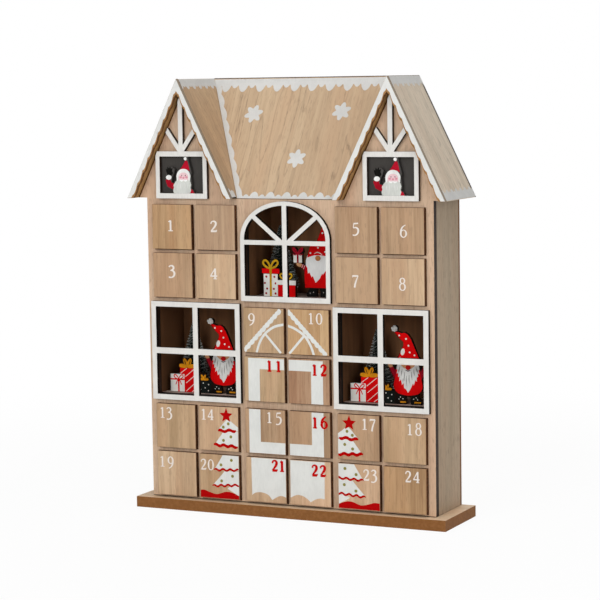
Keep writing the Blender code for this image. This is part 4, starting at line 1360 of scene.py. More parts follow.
@dataclass
class RoofPaint:
    """Snow painted along the edges of the sloping boards, and three snowflakes."""

    inset: float = 1.5
    edge: float = 0.3
    flake_places: tuple = ((-53.8, 87.4), (35.2, 89.4), (0.5, 41.1))
    flake_radius: float = 5.6
    petal: float = 3.8
    long_drip: float = 0.27
    short_drip: float = 0.16
    short_share: float = 0.42
    roundness: float = 0.75
    side_band: float = 3.9
    side_swell: float = 2.0
    side_pitch: float = 13.6

    def flake(self, u: float, v: float, turn: float) -> Loop:
        """Outline of a six-petalled snowflake.

        Args:
            u: Middle across.
            v: Middle up.
            turn: Angle of the first petal.

        Returns:
            The outline.
        """
        loop = []
        steps = 72
        for i in range(steps):
            angle = math.tau * i / steps
            lobe = (1 + math.cos(6 * angle)) / 2
            radius = self.flake_radius + self.petal * lobe**0.8
            loop.append((u + radius * math.cos(angle + turn), v + radius * math.sin(angle + turn)))
        return loop

    def band_edge(
        self, start: float, end: float, base: float, drop: float, pitch: float, phase: float
    ) -> Loop:
        """Ragged edge of a snow band: long drips with small ones between.

        Args:
            start: One end across.
            end: The other end.
            base: Height of the edge between drips.
            drop: Height of a long drip, negative where it hangs down.
            pitch: Distance between long drips.
            phase: Place of one long drip.

        Returns:
            Points along the edge.
        """
        steps = int(abs(end - start) / 0.8)
        points = []
        for i in range(steps + 1):
            u = start + (end - start) * i / steps
            place = ((u - phase) / pitch + 0.5) % 1 - 0.5
            long = max(0.0, 1 - (place / self.long_drip) ** 2) ** self.roundness
            short = max(0.0, 1 - ((0.5 - abs(place)) / self.short_drip) ** 2) ** self.roundness
            points.append((u, base + drop * max(long, self.short_share * short)))
        return points

    def build_main(self) -> None:
        """Paint the board between the gables."""
        low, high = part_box("main_roof_board")
        depth, rise = high[1] - low[1], high[2] - low[2]
        plane = Plane((0.0, low[1], low[2]), (0, depth, rise), (0, -rise, depth))
        length = math.hypot(depth, rise) / MM
        foot = -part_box("left_bargeboard")[1][0] / MM
        top = -middle_of("left_bargeboard")[0] / MM

        def half_at(v: float) -> float:
            """Half of the board's painted width at a height along the slope."""
            return foot + (top - foot) * v / length - 0.5

        stack = PaintStack("main_roof_snow", HOUSE, plane, slot="roof_veneer")
        ridge = length - self.inset
        reach = half_at(ridge - 7)
        edge = self.band_edge(reach, -reach, base=117.6, drop=-6.9, pitch=17.9, phase=0.3)
        stack.add(SNOW_PAINT, [(-half_at(ridge), ridge), (half_at(ridge), ridge)] + edge)
        steps = 120
        for side in (-1, 1):
            outer, inner = [], []
            for i in range(steps + 1):
                v = 0.4 + (ridge - 0.8) * i / steps
                band = self.side_band + self.side_swell * abs(math.sin(math.pi * v / self.side_pitch))
                outer.append((side * half_at(v), v))
                inner.append((side * (half_at(v) - band), v))
            stack.add(SNOW_PAINT, outer + inner[::-1])
        edge = self.band_edge(-half_at(2), half_at(2), base=2.3, drop=4.7, pitch=16.4, phase=-1.0)
        stack.add(SNOW_PAINT, [(half_at(self.edge), self.edge), (-half_at(self.edge), self.edge)] + edge)
        for index, (u, v) in enumerate(self.flake_places):
            stack.add(SNOW_PAINT, self.flake(u, v, 0.28 + 0.1 * index))
        stack.build()

    def build_gable(self, side: str, part: str, way: float) -> None:
        """Paint the ridge and eave bands of one gable slope, and on an inner slope a thin dark strip at its
        foot as painted shadow.

        Args:
            side: "left" or "right".
            part: "outer" or "inner".
            way: -1 for a slope that faces left, 1 for one that faces right.
        """
        low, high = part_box(side + "_bargeboard")
        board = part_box(side + "_gable_outer_board")
        half, rise = (high[0] - low[0]) / 2, high[2] - low[2]
        origin = (middle_of(side + "_bargeboard")[0] + way * half, 0.0, low[2])
        plane = Plane(origin, (-way * half, 0, rise), (way * rise, 0, half))
        length = math.hypot(half, rise) / MM
        front, back = way * board[0][1] / MM, way * board[1][1] / MM
        near, far = sorted((front, back))
        stack = PaintStack(f"{side}_{part}_snow", HOUSE, plane, slot="roof_veneer")
        start, end = near + self.edge, far - self.edge
        ridge = self.band_edge(end, start, base=length - 7.2, drop=-3.6, pitch=11.9, phase=near)
        stack.add(SNOW_PAINT, [(start, length - 0.5), (end, length - 0.5)] + ridge)
        if part == "inner":
            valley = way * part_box("main_roof_board")[0][1] / MM
            near, far = sorted((front, valley))
            # Painted shadow: a thin dark strip at the foot of the inner slope, where the gap lies in shade.
            stack.add(FIGURE_BOARD, box_loop(near + 0.2, far - 0.2, 0.2, 1.5), layer=2)
            start, end = near + self.edge, far - self.edge
        eave = self.band_edge(start, end, base=7.4, drop=3.4, pitch=10.7, phase=near)
        stack.add(SNOW_PAINT, [(end, 0.6), (start, 0.6)] + eave)
        stack.build()

    def build(self) -> None:
        """Paint all sloping boards."""
        self.build_main()
        for way, side in SIDES:
            self.build_gable(side, "outer", way)
            self.build_gable(side, "inner", -way)


@dataclass
class BargePaint:
    """White print on the bargeboards that leaves a scorched margin along their scallops."""

    width: float = 4.0
    swell: float = 1.1
    count: float = 8.5
    margin: float = 0.25
    inner_gap: float = 0.9
    tip_inset: float = 0.1
    foot_clear: float = 0.6

    def build(self) -> None:
        """Print both bargeboards."""
        steps = 68
        for node in ("left_bargeboard", "right_bargeboard"):
            low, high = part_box(node)
            half, rise = (high[0] - low[0]) / 2 / MM, (high[2] - low[2]) / MM
            slope = rise / half
            stretch = math.hypot(1, slope)
            span = (rise - (self.width + self.inner_gap) * stretch) / slope
            inner = []
            for i in range(-steps, steps + 1):
                share = i / steps
                width = self.width - self.margin + self.swell * abs(math.cos(math.pi * self.count * share))
                inner.append((span * share, rise - abs(span * share) * slope - width * stretch))
            foot = half - (self.width - self.margin) * stretch / slope
            tip = half - self.tip_inset
            outline = [
                (tip, self.margin), (0.0, rise - self.margin), (-tip, self.margin), (-foot, self.margin)]
            outline += [*(p for p in inner if p[1] > self.foot_clear), (foot, self.margin)]
            plane = Plane((middle_of(node)[0], low[1], low[2]))
            stack = PaintStack(node + "_print", HOUSE, plane, slot="white_trim_paint")
            stack.add(TRIM_PRINT, outline)
            stack.build()


BEARD = (
    (-11.8, 34.6), (-12.4, 31.4), (-11.2, 31.0), (-12.2, 27.6), (-10.4, 28.0), (-10.8, 24.2), (-9.0, 25.2),
    (-9.6, 20.6), (-7.4, 22.2), (-6.6, 17.4), (-4.8, 19.2), (-4.2, 14.6), (-2.2, 13.6), (-0.2, 10.5),
    (1.8, 13.0), (3.0, 14.8), (5.2, 19.4), (6.2, 17.4), (7.8, 22.4), (9.4, 20.8), (9.4, 24.8), (10.9, 25.4),
    (10.4, 28.4), (12.3, 27.8), (11.2, 31.2), (12.4, 31.8), (11.8, 34.6), (9.8, 38.4), (8.6, 37.2),
    (6.8, 34.6), (3.8, 32.5), (0.0, 31.9), (-3.8, 32.5), (-6.8, 34.6), (-8.6, 37.2), (-9.8, 38.4),
)
STREAKS = (
    (-8.6, 34.0, -9.4, 29.0), (-6.2, 32.0, -7.0, 25.6), (-3.6, 29.0, -4.0, 20.8), (-1.6, 26.0, -1.6, 17.0),
    (1.2, 27.0, 1.4, 19.0), (3.8, 29.4, 4.4, 22.0), (6.2, 32.0, 7.2, 26.0), (8.8, 34.0, 9.8, 29.6),
    (-5.0, 23.4, -5.6, 19.8), (-9.8, 31.6, -10.6, 28.2), (10.0, 32.0, 10.6, 29.0),
)
HAT = (
    (-10.9, 41.2), (-8.8, 42.9), (-6.4, 48.0), (-4.1, 53.0), (-4.2, 56.3), (-7.2, 58.8), (-9.9, 61.8),
    (-12.4, 64.9), (-9.9, 65.1), (-6.1, 63.9), (-2.6, 64.4), (0.2, 62.9), (3.1, 58.8), (5.6, 53.3),
    (9.2, 45.3), (10.9, 41.4), (10.3, 40.2), (5.2, 39.3), (0.0, 38.9), (-5.2, 39.3), (-10.3, 40.2),
)
GNOME_BODY = (
    (-9.3, 9.6), (-12.9, 13.1), (-13.9, 17.0), (-12.9, 22.5), (-11.6, 28.0), (-10.0, 32.0), (10.0, 32.0),
    (11.6, 28.0), (12.9, 22.5), (13.9, 17.0), (12.9, 13.1), (9.3, 9.6), (4.0, 8.4), (0.0, 8.0), (-4.0, 8.4),
)
RAISED_ARM = ((10.6, 28.0), (12.9, 22.8), (15.7, 27.6), (18.2, 33.2), (14.6, 34.0), (13.4, 31.6))
RAISED_HAND = ((14.5, 33.6), (18.3, 33.0), (19.3, 36.0), (17.6, 37.2), (15.7, 35.9))
BOOT = ((2.5, 0.3), (12.1, 0.3), (12.6, 3.4), (9.8, 6.3), (8.8, 8.6), (3.7, 8.0), (2.5, 4.6))
GIFT_STRIPES = (
    ((-28.4, 17.5), (-21.4, 22.6)), ((-23.1, 14.6), (-13.2, 22.4)), ((-22.4, 8.6), (-12.2, 16.8)),
    ((-22.6, 0.8), (-12.2, 9.5)), ((-16.2, 0.5), (-12.2, 3.4)),
)
RIBBON_LOOP = ((0.0, 12.0, 0.8), (1.7, 14.9, 1.0), (3.9, 16.3, 1.0), (4.8, 14.6, 1.0), (2.6, 12.6, 0.9))
RIBBON_TAIL = ((0.0, 12.0, 1.1), (1.7, 10.0, 1.0), (3.1, 6.8, 0.8))
BOW_LOOP = ((0.0, 1.0), (-0.6, 4.0), (1.2, 7.6), (3.4, 9.0), (4.6, 7.0), (3.6, 4.0), (1.6, 1.6))
BOW_TAIL = ((0.4, 0.2), (3.8, 3.4), (8.2, 3.2), (8.5, 0.6), (4.4, -0.2))
BOW_CREASE = ((1.6, 2.6, 0.3), (2.5, 5.2, 0.8), (3.0, 7.0, 0.3))
OPEN_BOW = ((0.3, 0.2), (1.4, 3.4), (3.8, 6.6), (6.4, 7.3), (7.9, 5.3), (6.6, 2.6), (3.2, 0.5))
ARCH_BOOT = ((2.2, 0.3), (11.4, 0.3), (11.9, 3.1), (9.3, 6.3), (8.4, 8.6), (1.5, 8.0), (2.2, 4.6))
ARCH_BODY = (
    (-13.4, 8.4), (-14.0, 16.0), (-13.8, 22.5), (-12.6, 28.0), (-11.6, 33.4), (11.8, 33.4), (13.4, 27.0),
    (15.6, 24.2), (15.2, 19.8), (13.9, 17.4), (13.4, 8.4),
)
ARCH_SLEEVE = ((-13.6, 22.8), (-14.9, 25.0), (-18.2, 27.2), (-16.4, 30.0), (-12.9, 28.6), (-12.0, 26.0))
ARCH_HAND = ((-18.0, 27.3), (-21.2, 28.4), (-21.8, 30.6), (-18.6, 30.7), (-16.4, 29.9))
SMALL_WING = ((0.0, 0.6), (1.2, 3.6), (3.9, 6.2), (5.6, 5.6), (4.9, 2.8), (2.0, 0.4))
SMALL_TAIL = ((0.0, 0.8, 0.6), (2.6, -0.9, 1.0), (5.2, 0.3, 0.5))
SMALL_FOLD = ((1.4, 40.6, 0.2), (3.0, 42.6, 0.5), (4.4, 43.4, 0.2))
ARCH_BEARD = (
    (-12.3, 33.6), (-12.4, 28.9), (-10.9, 26.4), (-10.5, 21.5), (-8.8, 22.4), (-6.6, 17.9), (-5.6, 19.4),
    (-2.7, 13.0), (1.4, 16.9), (3.9, 21.9), (4.6, 20.6), (8.2, 25.0), (10.0, 27.6), (12.4, 33.4),
    (11.0, 38.6), (4.0, 39.0), (0.0, 39.2), (-4.0, 39.0), (-10.6, 38.0),
)
ARCH_HAT = (
    (-10.9, 36.0), (-8.0, 46.2), (-4.1, 48.7), (-0.6, 51.5), (1.9, 57.3), (4.4, 63.6), (6.6, 69.0),
    (8.0, 70.4), (9.3, 69.1), (10.5, 61.9), (11.5, 50.0), (11.3, 36.0), (8.6, 37.4), (4.2, 38.2),
    (0.0, 38.4), (-4.2, 38.0), (-8.2, 36.8),
)
DORMER_SLEEVE = (
    (6.2, 12.6), (6.3, 10.9), (8.2, 6.3), (13.3, 3.8), (15.7, 2.9), (16.4, 8.6), (12.2, 10.0), (11.3, 12.7),
)
DORMER_MITTEN = (
    (8.4, 16.8), (7.2, 19.8), (6.6, 22.8), (8.0, 21.9), (8.6, 24.6), (9.9, 22.8), (11.2, 24.9),
    (12.0, 22.7), (13.6, 23.4), (13.1, 20.4), (14.2, 18.6), (12.6, 16.6),
)
DORMER_SHOULDER = ((29.8, 0.2), (36.0, 0.2), (34.6, 2.9), (32.0, 4.6), (30.2, 3.6))
DORMER_HAT = (
    (20.6, 20.8), (23.4, 24.2), (26.9, 29.6), (28.1, 30.6), (29.6, 29.2), (31.6, 20.6), (26.5, 22.6),
)
DORMER_BEARD = (
    (14.6, 0.2), (13.9, 3.0), (14.8, 5.4), (14.3, 7.6), (15.6, 9.8), (17.4, 11.8), (18.9, 12.8),
    (20.8, 12.3), (22.8, 12.5), (25.0, 11.4), (27.2, 12.5), (29.2, 12.3), (31.0, 12.8), (32.3, 10.4),
    (32.9, 8.0), (32.1, 5.6), (32.7, 3.2), (31.7, 0.2),
)
DORMER_BRIM = (
    (18.5, 11.6, 1.2), (18.9, 13.8, 1.9), (18.9, 16.2, 2.2), (20.3, 18.9, 2.8), (23.0, 20.7, 3.3),
    (27.0, 20.7, 3.3), (29.8, 18.9, 2.8), (31.1, 16.2, 2.2), (31.0, 13.8, 1.9), (31.2, 11.8, 1.2),
)
MOUSTACHE = ((0.0, 12.6, 0.6), (1.9, 11.7, 1.6), (3.8, 12.5, 0.7))


@dataclass
class CutOutScene:
    """Common ways to print bows and dots on a cut-out board."""

    stack: PaintStack
    bow_reach: float = 8.6

    def bow(self, finish: Paint, u: float, v: float, reach: float, layer: int) -> None:
        """Full bow with two upright loops and two side tails.

        Args:
            finish: Its paint.
            u: Middle across.
            v: Its foot.
            reach: Half its width.
            layer: Place in the stack.
        """
        k = reach / self.bow_reach
        for way in (-1, 1):
            for part in (BOW_LOOP, BOW_TAIL):
                self.stack.add(finish, smooth(moved(part, u, v, way, k), True, 4), layer=layer)
            self.stack.line(FIGURE_BOARD, moved(BOW_CREASE, u, v, way, k), layer + 1)
        self.stack.add(finish, oval(u, v + 1.4 * k, 1.3 * k, 1.2 * k), layer=layer + 1)

    def dots(self, finish: Paint, places: Iterable[Point], radius: float, layer: int) -> None:
        """Scatter of round dots of one size on their middles."""
        for u, v in places:
            self.stack.add(finish, oval(u, v, radius, sides=12), layer=layer)


@dataclass
class PomPom:
    """Fluffy ball of short tufts."""

    name: str
    centre: Vector
    radius: float = 0.0022
    tuft: float = 0.0008

    def build(self) -> None:
        """Build the ball with every third corner drawn out to a tuft."""
        bm = bmesh.new()
        bmesh.ops.create_icosphere(bm, subdivisions=3, radius=self.radius)
        for vert in list(bm.verts)[::3]:
            vert.co += vert.co.normalized() * self.tuft
        bmesh.ops.translate(bm, verts=bm.verts, vec=self.centre)
        place_piece(self.name, bm, [POMPOM_GREY], HOUSE)


@dataclass
class SideWindowScene(CutOutScene):
    """Three gifts and a gnome in a square window."""

    gnome_u: float = 17.4
    beard_share: float = 0.9
    ribbon_u: float = -30.3

    def lay_gifts(self) -> None:
        """Print the striped, white and dark gifts."""
        stack = self.stack
        stack.add(FIGURE_RED, box_loop(-28.6, -11.8, 0.3, 22.8))
        for start, end in GIFT_STRIPES:
            stack.add(GIFT_WHITE, *ribbon([(*start, 0.55), (*end, 0.55)]), layer=2)
        self.bow(ORANGE_GOLD, -20.6, 23.1, 8.6, 3)
        stack.add(GIFT_WHITE, box_loop(-38.9, -24.1, 0.3, 16.9), layer=3)
        stack.add(FIGURE_RED, box_loop(-31.1, -29.5, 0.3, 12.0), layer=4)
        stack.add(FIGURE_RED, box_loop(-38.9, -24.1, 11.2, 12.6), layer=4)
        for way in (-1, 1):
            stack.line(FIGURE_RED, moved(RIBBON_LOOP, self.ribbon_u, way=way), 5, closed=True)
            stack.line(FIGURE_RED, moved(RIBBON_TAIL, self.ribbon_u, way=way), 5)
        stack.add(GIFT_BLACK, box_loop(-12.3, 4.0, 0.3, 11.6))
        dots = ((-9.4, 8.6), (-7.0, 3.4), (-4.2, 9.4), (-2.2, 5.0), (1.4, 8.2), (1.0, 2.4))
        self.dots(GIFT_WHITE, dots, 0.6, 2)
        self.bow(ORANGE_GOLD, -3.9, 12.0, 5.2, 2)

    def lay_limbs(self) -> None:
        """Print the gnome's raised arms and dotted boots."""
        stack, u = self.stack, self.gnome_u
        for way, sole in ((-1, (-7.8, -2.2)), (1, (5.8, 12.2))):
            stack.add(DEEP_RED, moved(RAISED_ARM, u, way=way))
            stack.add(SKIN_TAN, moved(smooth(RAISED_HAND, True, 3), u, way=way), layer=2)
            stack.add(BOOT_BLACK, moved(BOOT, u, way=way))
            stack.add(ORANGE_GOLD, moved(box_loop(*sole, 1.4, 2.7), u), layer=2)
            self.dots(GIFT_WHITE, moved(((5.2, 5.0), (7.6, 6.4), (9.0, 4.6)), u, way=way), 0.45, 2)

    def lay_gnome(self) -> None:
        """Print the gnome's body, beard and hat."""
        stack, u = self.stack, self.gnome_u
        stack.add(FIGURE_RED, moved(smooth(GNOME_BODY, True, 3), u), layer=2)
        stack.add(SKIN_TAN, oval(u, 37.0, 9.4, 4.8), layer=2)
        stack.add(BEARD_GREY, [(u + a * self.beard_share, b) for a, b in BEARD], layer=3)
        for a, b, c, d in STREAKS:
            a, c = a * self.beard_share, c * self.beard_share
            streak = [(u + a, b, 0.25), (u + (a + c) / 2 - 0.2, (b + d) / 2, 0.75), (u + c, d, 0.2)]
            stack.add(BEARD_SHADE, *ribbon(streak), layer=4)
        stack.line(BOOT_BLACK, moved(((-2.4, 31.0, 0.4), (0.0, 30.2, 0.8), (2.4, 31.0, 0.4)), u), 4)
        stack.add(NOSE_RED, oval(u + 0.3, 33.3, 2.4, 2.2), layer=5, thick=0.5)
        stack.add(FIGURE_RED, moved(HAT, u), layer=4)
        dots = ((-8.1, 61.9), (-1.5, 59.1), (0.7, 53.0), (1.9, 47.0), (6.4, 44.6), (4.6, 40.4), (-7.6, 41.6))
        self.dots(GIFT_WHITE, moved(dots, u), 0.85, 5)
        stack.add(GIFT_WHITE, oval(u - 4.9, 47.2, 1.9, 3.2, turn=-0.25), layer=5)

    def build(self) -> None:
        """Print and build the scene, with a fluffy ball on the hat."""
        self.lay_gifts()
        self.lay_limbs()
        self.lay_gnome()
        self.stack.build()
        centre = self.stack.plane.matrix() @ (Vector((self.gnome_u - 12.4, 67.9, 0.9)) * MM)
        PomPom(self.stack.name.replace("_print", "_pompom"), centre).build()


@dataclass
class ArchGiftScene(CutOutScene):
    """A tall dotted gift and a small red one in the arched window."""

    def open_bow(self, u: float, v: float, reach: float, width: float, layer: int) -> None:
        """Bow of two open ribbon loops.

        Args:
            u: Middle across.
            v: Its foot.
            reach: Half its width.
            width: Width of the ribbon.
            layer: Place in the stack.
        """
        for way in (-1, 1):
            places = moved(OPEN_BOW, u, v, way, reach / self.bow_reach)
            self.stack.line(RIBBON_GOLD, [(*place, width) for place in places], layer, closed=True)
        self.stack.add(RIBBON_GOLD, oval(u, v + 0.3, width, width * 0.9), layer=layer + 1)

    def build(self) -> None:
        """Print and build the gifts."""
        stack = self.stack
        stack.add(GIFT_WHITE, box_loop(-32.1, -17.8, 0.3, 20.8))
        dots = (
            (-29.4, 18.2), (-21.2, 18.2), (-31.0, 12.3), (-20.0, 12.2), (-28.8, 7.2), (-21.9, 7.1),
            (-29.8, 2.9), (-20.2, 2.9),
        )
        self.dots(DEEP_RED, dots, 1.05, 2)
        stack.add(FIGURE_RED, box_loop(-33.8, -16.0, 21.2, 25.7))
        stack.add(RIBBON_GOLD, box_loop(-26.1, -23.8, 0.3, 25.7), layer=2)
        self.open_bow(-25.0, 26.2, 8.2, 1.9, 2)
        stack.add(FIGURE_RED, box_loop(-17.5, -0.1, 0.3, 10.8), layer=2)
        stack.add(GIFT_WHITE, box_loop(-19.4, 0.6, 11.0, 15.3), layer=3)
        stack.add(RIBBON_GOLD, box_loop(-10.2, -8.4, 0.3, 15.3), layer=4)
        self.open_bow(-9.3, 15.8, 6.4, 1.5, 4)
        stack.build()


@dataclass
class ArchGnomeScene(CutOutScene):
    """The gnome that holds up a small gift."""

    gift_u: float = -20.5
    gift_top: float = 39.0

    def lay_gift(self) -> None:
        """Print the small gift and its bow."""
        stack, u, v = self.stack, self.gift_u, self.gift_top
        stack.add(GIFT_WHITE, box_loop(-24.9, -16.2, 31.1, 38.7))
        stack.add(DEEP_RED, box_loop(-21.4, -19.6, 31.1, 38.7), layer=2)
        for way in (-1, 1):
            stack.add(HAT_CRIMSON, moved(smooth(SMALL_WING, True, 4), u, v, way), layer=2)
            stack.line(HAT_CRIMSON, moved(SMALL_TAIL, u, v, way), 2)
            stack.line(FIGURE_BOARD, moved(SMALL_FOLD, u, way=way), 3)
        stack.add(HAT_CRIMSON, oval(u, 39.8, 1.2, 1.1), layer=3)

    def build(self) -> None:
        """Print and build the gnome."""
        stack = self.stack
        for way in (-1, 1):
            stack.add(BOOT_BLACK, moved(ARCH_BOOT, 0.0, way=way))
            self.dots(GIFT_WHITE, ((way * 5.0, 4.4), (way * 8.4, 3.4)), 0.4, 2)
        stack.add(FIGURE_RED, ARCH_BODY)
        stack.add(DEEP_RED, ARCH_SLEEVE, layer=2)
        for u, v in ((-16.6, 26.6), (-14.9, 25.4)):
            stack.add(GIFT_WHITE, *ribbon([(u, v, 0.3), (u + 1.6, v + 3.2, 0.3)]), layer=3)
        stack.add(SKIN_TAN, smooth(ARCH_HAND, True, 3), layer=2)
        self.lay_gift()
        stack.add(BEARD_LIGHT, ARCH_BEARD, layer=2)
        stack.add(FIGURE_RED, ARCH_HAT, layer=3)
        dots = ((0.1, 45.2), (-7.6, 40.2), (4.8, 58.6), (7.4, 50.2), (7.0, 41.6), (7.8, 65.4))
        self.dots(GIFT_WHITE, dots, 0.85, 4)
        stack.line(GIFT_WHITE, ((-3.9, 39.6, 0.5), (0.0, 41.0, 0.8), (4.2, 38.9, 0.5)), 4)
        stack.add(NOSE_TAN, oval(0.0, 35.6, 2.6, 2.4), layer=5, thick=0.6)
        stack.build()


@dataclass
class DormerScene(CutOutScene):
    """Half figure in a red hat that waves from a dormer."""

    face_u: float = 25.0
    curl_u: float = 24.0

    def build(self) -> None:
        """Print and build the figure."""
        stack, face = self.stack, self.face_u
        stack.add(DEEP_RED, DORMER_SLEEVE)
        stack.add(BOOT_BLACK, DORMER_MITTEN)
        stack.add(FUR_WHITE, oval(9.6, 14.7, 2.9, 2.2), layer=2, thick=0.2)
        stack.add(HAT_CRIMSON, DORMER_SHOULDER)
        stack.add(HAT_CRIMSON, DORMER_HAT, layer=2)
        stack.add(SKIN_PINK, oval(face, 15.0, 6.1, 4.8))
        stack.add(BEARD_WHITE, DORMER_BEARD, layer=2)
        stack.line(FUR_WHITE, DORMER_BRIM, 3, thick=0.2)
        for way in (-1, 1):
            stack.line(BEARD_LIGHT, moved(MOUSTACHE, face, way=way), 4)
            stack.add(BOOT_BLACK, oval(face + way * 1.9, 16.5, 0.45, 0.6, sides=10), layer=2)
            stack.add(CHEEK_PINK, oval(face + way * 3.0, 14.9, 1.35, 1.0, sides=12), layer=2)
            for reach in (2.0, 4.6):
                curl = ((reach, 9.4, 0.2), (reach + 0.5, 7.2, 0.5), (reach + 0.2, 4.6, 0.2))
                stack.line(BEARD_GREY, moved(curl, self.curl_u, way=way), 4)
        stack.add(CHEEK_PINK, oval(face, 14.4, 1.1, 0.9, sides=12), layer=5)
        stack.add(FUR_WHITE, oval(27.4, 31.9, 1.5), layer=3, thick=0.5)
        stack.build()


@dataclass
class Scenes:
    """All cut-out scenes, each on its own board, and the grey panes behind the dormer figures."""

    gnome_inset: float = 0.016
    pane_left: float = 0.0041
    pane_foot: float = 0.0047

    def build(self) -> None:
        """Print and build every scene."""
        for _, side in SIDES:
            node = side + "_window_figures"
            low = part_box(node)[0]
            plane = Plane((middle_of(side + "_window_frame")[0], low[1], low[2]))
            SideWindowScene(PaintStack(node + "_print", HOUSE, plane)).build()
            self.build_dormer(side)
        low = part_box("arch_gifts")[0]
        ArchGiftScene(PaintStack("arch_gifts_print", HOUSE, Plane((0.0, low[1], low[2])))).build()
        low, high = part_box("arch_gnome")
        plane = Plane((high[0] - self.gnome_inset, low[1], low[2]))
        ArchGnomeScene(PaintStack("arch_gnome_print", HOUSE, plane)).build()

    def build_dormer(self, side: str) -> None:
        """Print one dormer's figure and put the grey pane behind it.

        Args:
            side: "left" or "right".
        """
        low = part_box(side + "_dormer_frame")[0]
        left, foot = low[0] + self.pane_left, low[2] + self.pane_foot
        DormerScene(PaintStack(side + "_dormer_figure_print", HOUSE, Plane((left, low[1], foot)))).build()
        plane = Plane((left, FACADE_Y, foot))
        pane = PaintStack(side + "_dormer_pane", HOUSE, plane, slot="white_trim_paint")
        pane.add(PANE_GREY, box_loop(-1.5, 46.5, -1.5, 35.4))
        pane.build()


@dataclass
class BrushTree:
    """Bottle-brush tree: turned foot, twisted wire and bristles trimmed to a cone."""

    height: float = 64.0
    foot_radius: float = 8.0
    foot_height: float = 4.0
    bare: float = 3.0
    reach: float = 17.8
    tip_reach: float = 1.6
    rows: int = 2800
    bristle: float = 0.2
    bristle_tip: float = 0.08
    wire: float = 0.75
    wire_turns: int = 9
    wire_steps: int = 140
    droop: float = 0.18

    def foot_mesh(self) -> bmesh.types.BMesh:
        """Turned wooden foot.

        Returns:
            Its bmesh in millimetres.
        """
        bm = bmesh.new()
        bmesh.ops.create_cone(
            bm, cap_ends=True, segments=48, radius1=self.foot_radius, radius2=self.foot_radius - 0.6,
            depth=self.foot_height, matrix=Matrix.Translation((0, 0, self.foot_height / 2)))
        rims = [edge for edge in bm.edges if len(edge.link_faces) == 2 and edge.calc_face_angle() > 1]
        bmesh.ops.bevel(bm, geom=rims, offset=0.4, segments=3, profile=0.5, affect="EDGES", material=-1)
        return bm

    def wire_mesh(self) -> bmesh.types.BMesh:
        """Two wires twisted round each other.

        Returns:
            Their bmesh in millimetres.
        """
        bm = bmesh.new()
        radius = self.wire / 2
        rise = (self.height - self.foot_height) / self.wire_steps
        for turn in (0.0, math.pi):
            ring = bmesh.ops.create_circle(bm, segments=8, radius=radius, cap_ends=True)["verts"]
            spot = (radius * math.cos(turn), radius * math.sin(turn), self.foot_height - 0.5)
            bmesh.ops.translate(bm, verts=ring, vec=spot)
            start = ring[0].link_faces[0]
            bmesh.ops.spin(
                bm, geom=[start, *start.edges, *start.verts], cent=(0, 0, 0), axis=UPWARD,
                angle=math.tau * self.wire_turns, steps=self.wire_steps, dvec=(0, 0, rise),
                use_duplicate=False, use_merge=False)
        bmesh.ops.recalc_face_normals(bm, faces=bm.faces)
        return bm

    def bristle_mesh(self) -> bmesh.types.BMesh:
        """Bristles in a spiral, each a slim three-sided spike with its frost written on its corners.

        Returns:
            Their bmesh in millimetres.
        """
        bm = bmesh.new()
        frost = bm.verts.layers.float.new("frost")
        low = self.foot_height + self.bare
        golden = math.pi * (3 - math.sqrt(5))
        for i in range(self.rows):
            share = i / (self.rows - 1)
            height = low + (self.height - low) * (1 - (1 - share) ** 1.35)
            rise = (height - low) / (self.height - low)
            wobble = math.sin(i * 12.9898) * 0.5 + math.sin(i * 4.1414) * 0.5
            reach = (self.reach + (self.tip_reach - self.reach) * rise) * (0.98 + 0.06 * wobble)
            if rise > 0.97:
                reach = min(reach, self.tip_reach)
            spike = bmesh.ops.create_cone(
                bm, cap_ends=True, segments=3, radius1=self.bristle, radius2=self.bristle_tip,
                depth=reach)["verts"]
            for vert in spike:
                vert[frost] = (1.0 if i % 3 == 0 else 0.45) if vert.co.z > 0 else 0.0
            lean = math.pi / 2 - 0.2 - 0.12 * wobble
            turn = Matrix.Rotation(i * golden, 4, "Z") @ Matrix.Rotation(lean, 4, "Y")
            turn = turn @ Matrix.Translation((0, 0, reach / 2))
            root = Matrix.Translation((0, 0, height - self.droop * reach))
            bmesh.ops.transform(bm, matrix=root @ turn, verts=spike)
        return bm

    def build(self, nodes: tuple[str, ...]) -> None:
        """Build the same tree in the place of each of some plain solids.

        Args:
            nodes: The nodes that it replaces.
        """
        wood = Veneer(
            "tree_foot_wood", "b08a5a", "8a683f", along=RIGHTWARD, face=UPWARD, edge="8a683f",
            edge_light="a9845a")
        parts = (
            ("foot", self.foot_mesh(), wood),
            ("wire", self.wire_mesh(), Paint("tree_wire", "4a4d4a", 0.4, 0.1)),
            ("bristles", self.bristle_mesh(), Bristle("tree_bristles")),
        )
        for name, shape, finish in parts:
            for node in nodes:
                x, y, _ = middle_of(node)
                place = Matrix.Translation((x, y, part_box(node)[0][2])) @ Matrix.Scale(MM, 4)
                bm = shape.copy()
                bmesh.ops.transform(bm, matrix=place, verts=bm.verts)
                piece = place_piece(f"{node}_{name}", bm, [finish], HOUSE)
                if name == "bristles":
                    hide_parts(node)
            shape.free()


class LampKind(Enum):
    """Lamps of the studio: place, size and power."""

    KEY = ((-0.4, -2.7, 1.3), 1.4, 36.5)
    FILL = ((2.1, -1.9, 0.9), 1.4, 18.0)
    TOP = ((0.5, -0.2, 2.4), 1.8, 18.0)
    REAR = ((-0.7, 2.6, 1.2), 1.6, 16.0)


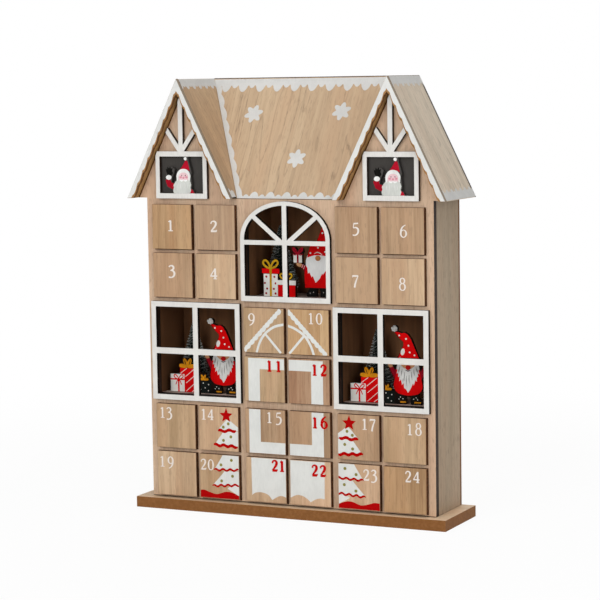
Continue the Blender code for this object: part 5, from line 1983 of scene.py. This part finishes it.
@dataclass
class Studio:
    """Floor, soft light and the camera at the photograph's place."""

    lens: float = 128.75
    camera_place: tuple = (0.84806, -1.76172, 0.3993)
    camera_turn: tuple = (1.467449, 0.015376, 0.447161)
    lamp_aim: tuple = (0.0, 0.0, 0.2)
    world_level: float = 0.3
    floor_reach: float = 12.0

    def build_floor(self) -> None:
        """Wide pale floor under the base."""
        bm = bmesh.new()
        bmesh.ops.create_grid(bm, x_segments=1, y_segments=1, size=self.floor_reach)
        mesh = bpy.data.meshes.new("studio_floor")
        bm.to_mesh(mesh)
        bm.free()
        mesh.materials.append(material_of(StudioFloor()))
        floor = bpy.data.objects.new("studio_floor", mesh)
        bpy.context.scene.collection.objects.link(floor)

    def build_lamps(self) -> None:
        """Soft square lamps that face the house."""
        for kind in LampKind:
            place, size, power = kind.value
            data = bpy.data.lights.new(kind.name.lower() + "_lamp", "AREA")
            data.size = size
            data.energy = power
            lamp = bpy.data.objects.new(data.name, data)
            lamp.location = place
            lamp.rotation_euler = (Vector(self.lamp_aim) - Vector(place)).to_track_quat("-Z", "Y").to_euler()
            bpy.context.scene.collection.objects.link(lamp)

    def build_world(self) -> None:
        """Even world light, which the camera, gloss and glass see as white."""
        world = bpy.data.worlds.new("studio_world")
        sky = Nodes(world)
        plain = sky.node("ShaderNodeBackground", None, {"Color": WHITE, "Strength": self.world_level})
        pale = sky.node("ShaderNodeBackground", None, {"Color": WHITE, "Strength": 1.0})
        sky.node("ShaderNodeOutputWorld", None, {"Surface": sky.blend(sky.backdrop(), plain, pale)})
        bpy.context.scene.world = world

    def build_camera(self) -> None:
        """Long lens from the front right, a little above the roof."""
        data = bpy.data.cameras.new("studio_camera")
        data.lens = self.lens
        data.sensor_width = 36.0
        data.clip_end = 50.0
        camera = bpy.data.objects.new("studio_camera", data)
        camera.location = self.camera_place
        camera.rotation_euler = Euler(self.camera_turn)
        bpy.context.scene.collection.objects.link(camera)
        bpy.context.scene.camera = camera

    def build(self) -> None:
        """Build the whole studio."""
        bpy.context.scene.view_settings.view_transform = "Standard"
        self.build_floor()
        self.build_lamps()
        self.build_world()
        self.build_camera()


def main() -> None:
    """Dress the house, build its added pieces and light it."""
    logging.basicConfig(level=logging.INFO)
    Studio().build()
    Carcass().build()
    FrontCorners().build()
    DrawerPrints().build()
    OpeningScorch().build()
    RoofPaint().build()
    BargePaint().build()
    Scenes().build()
    BrushTree().build(("left_window_tree", "right_window_tree", "arch_tree"))


if __name__ == "__main__":
    main()
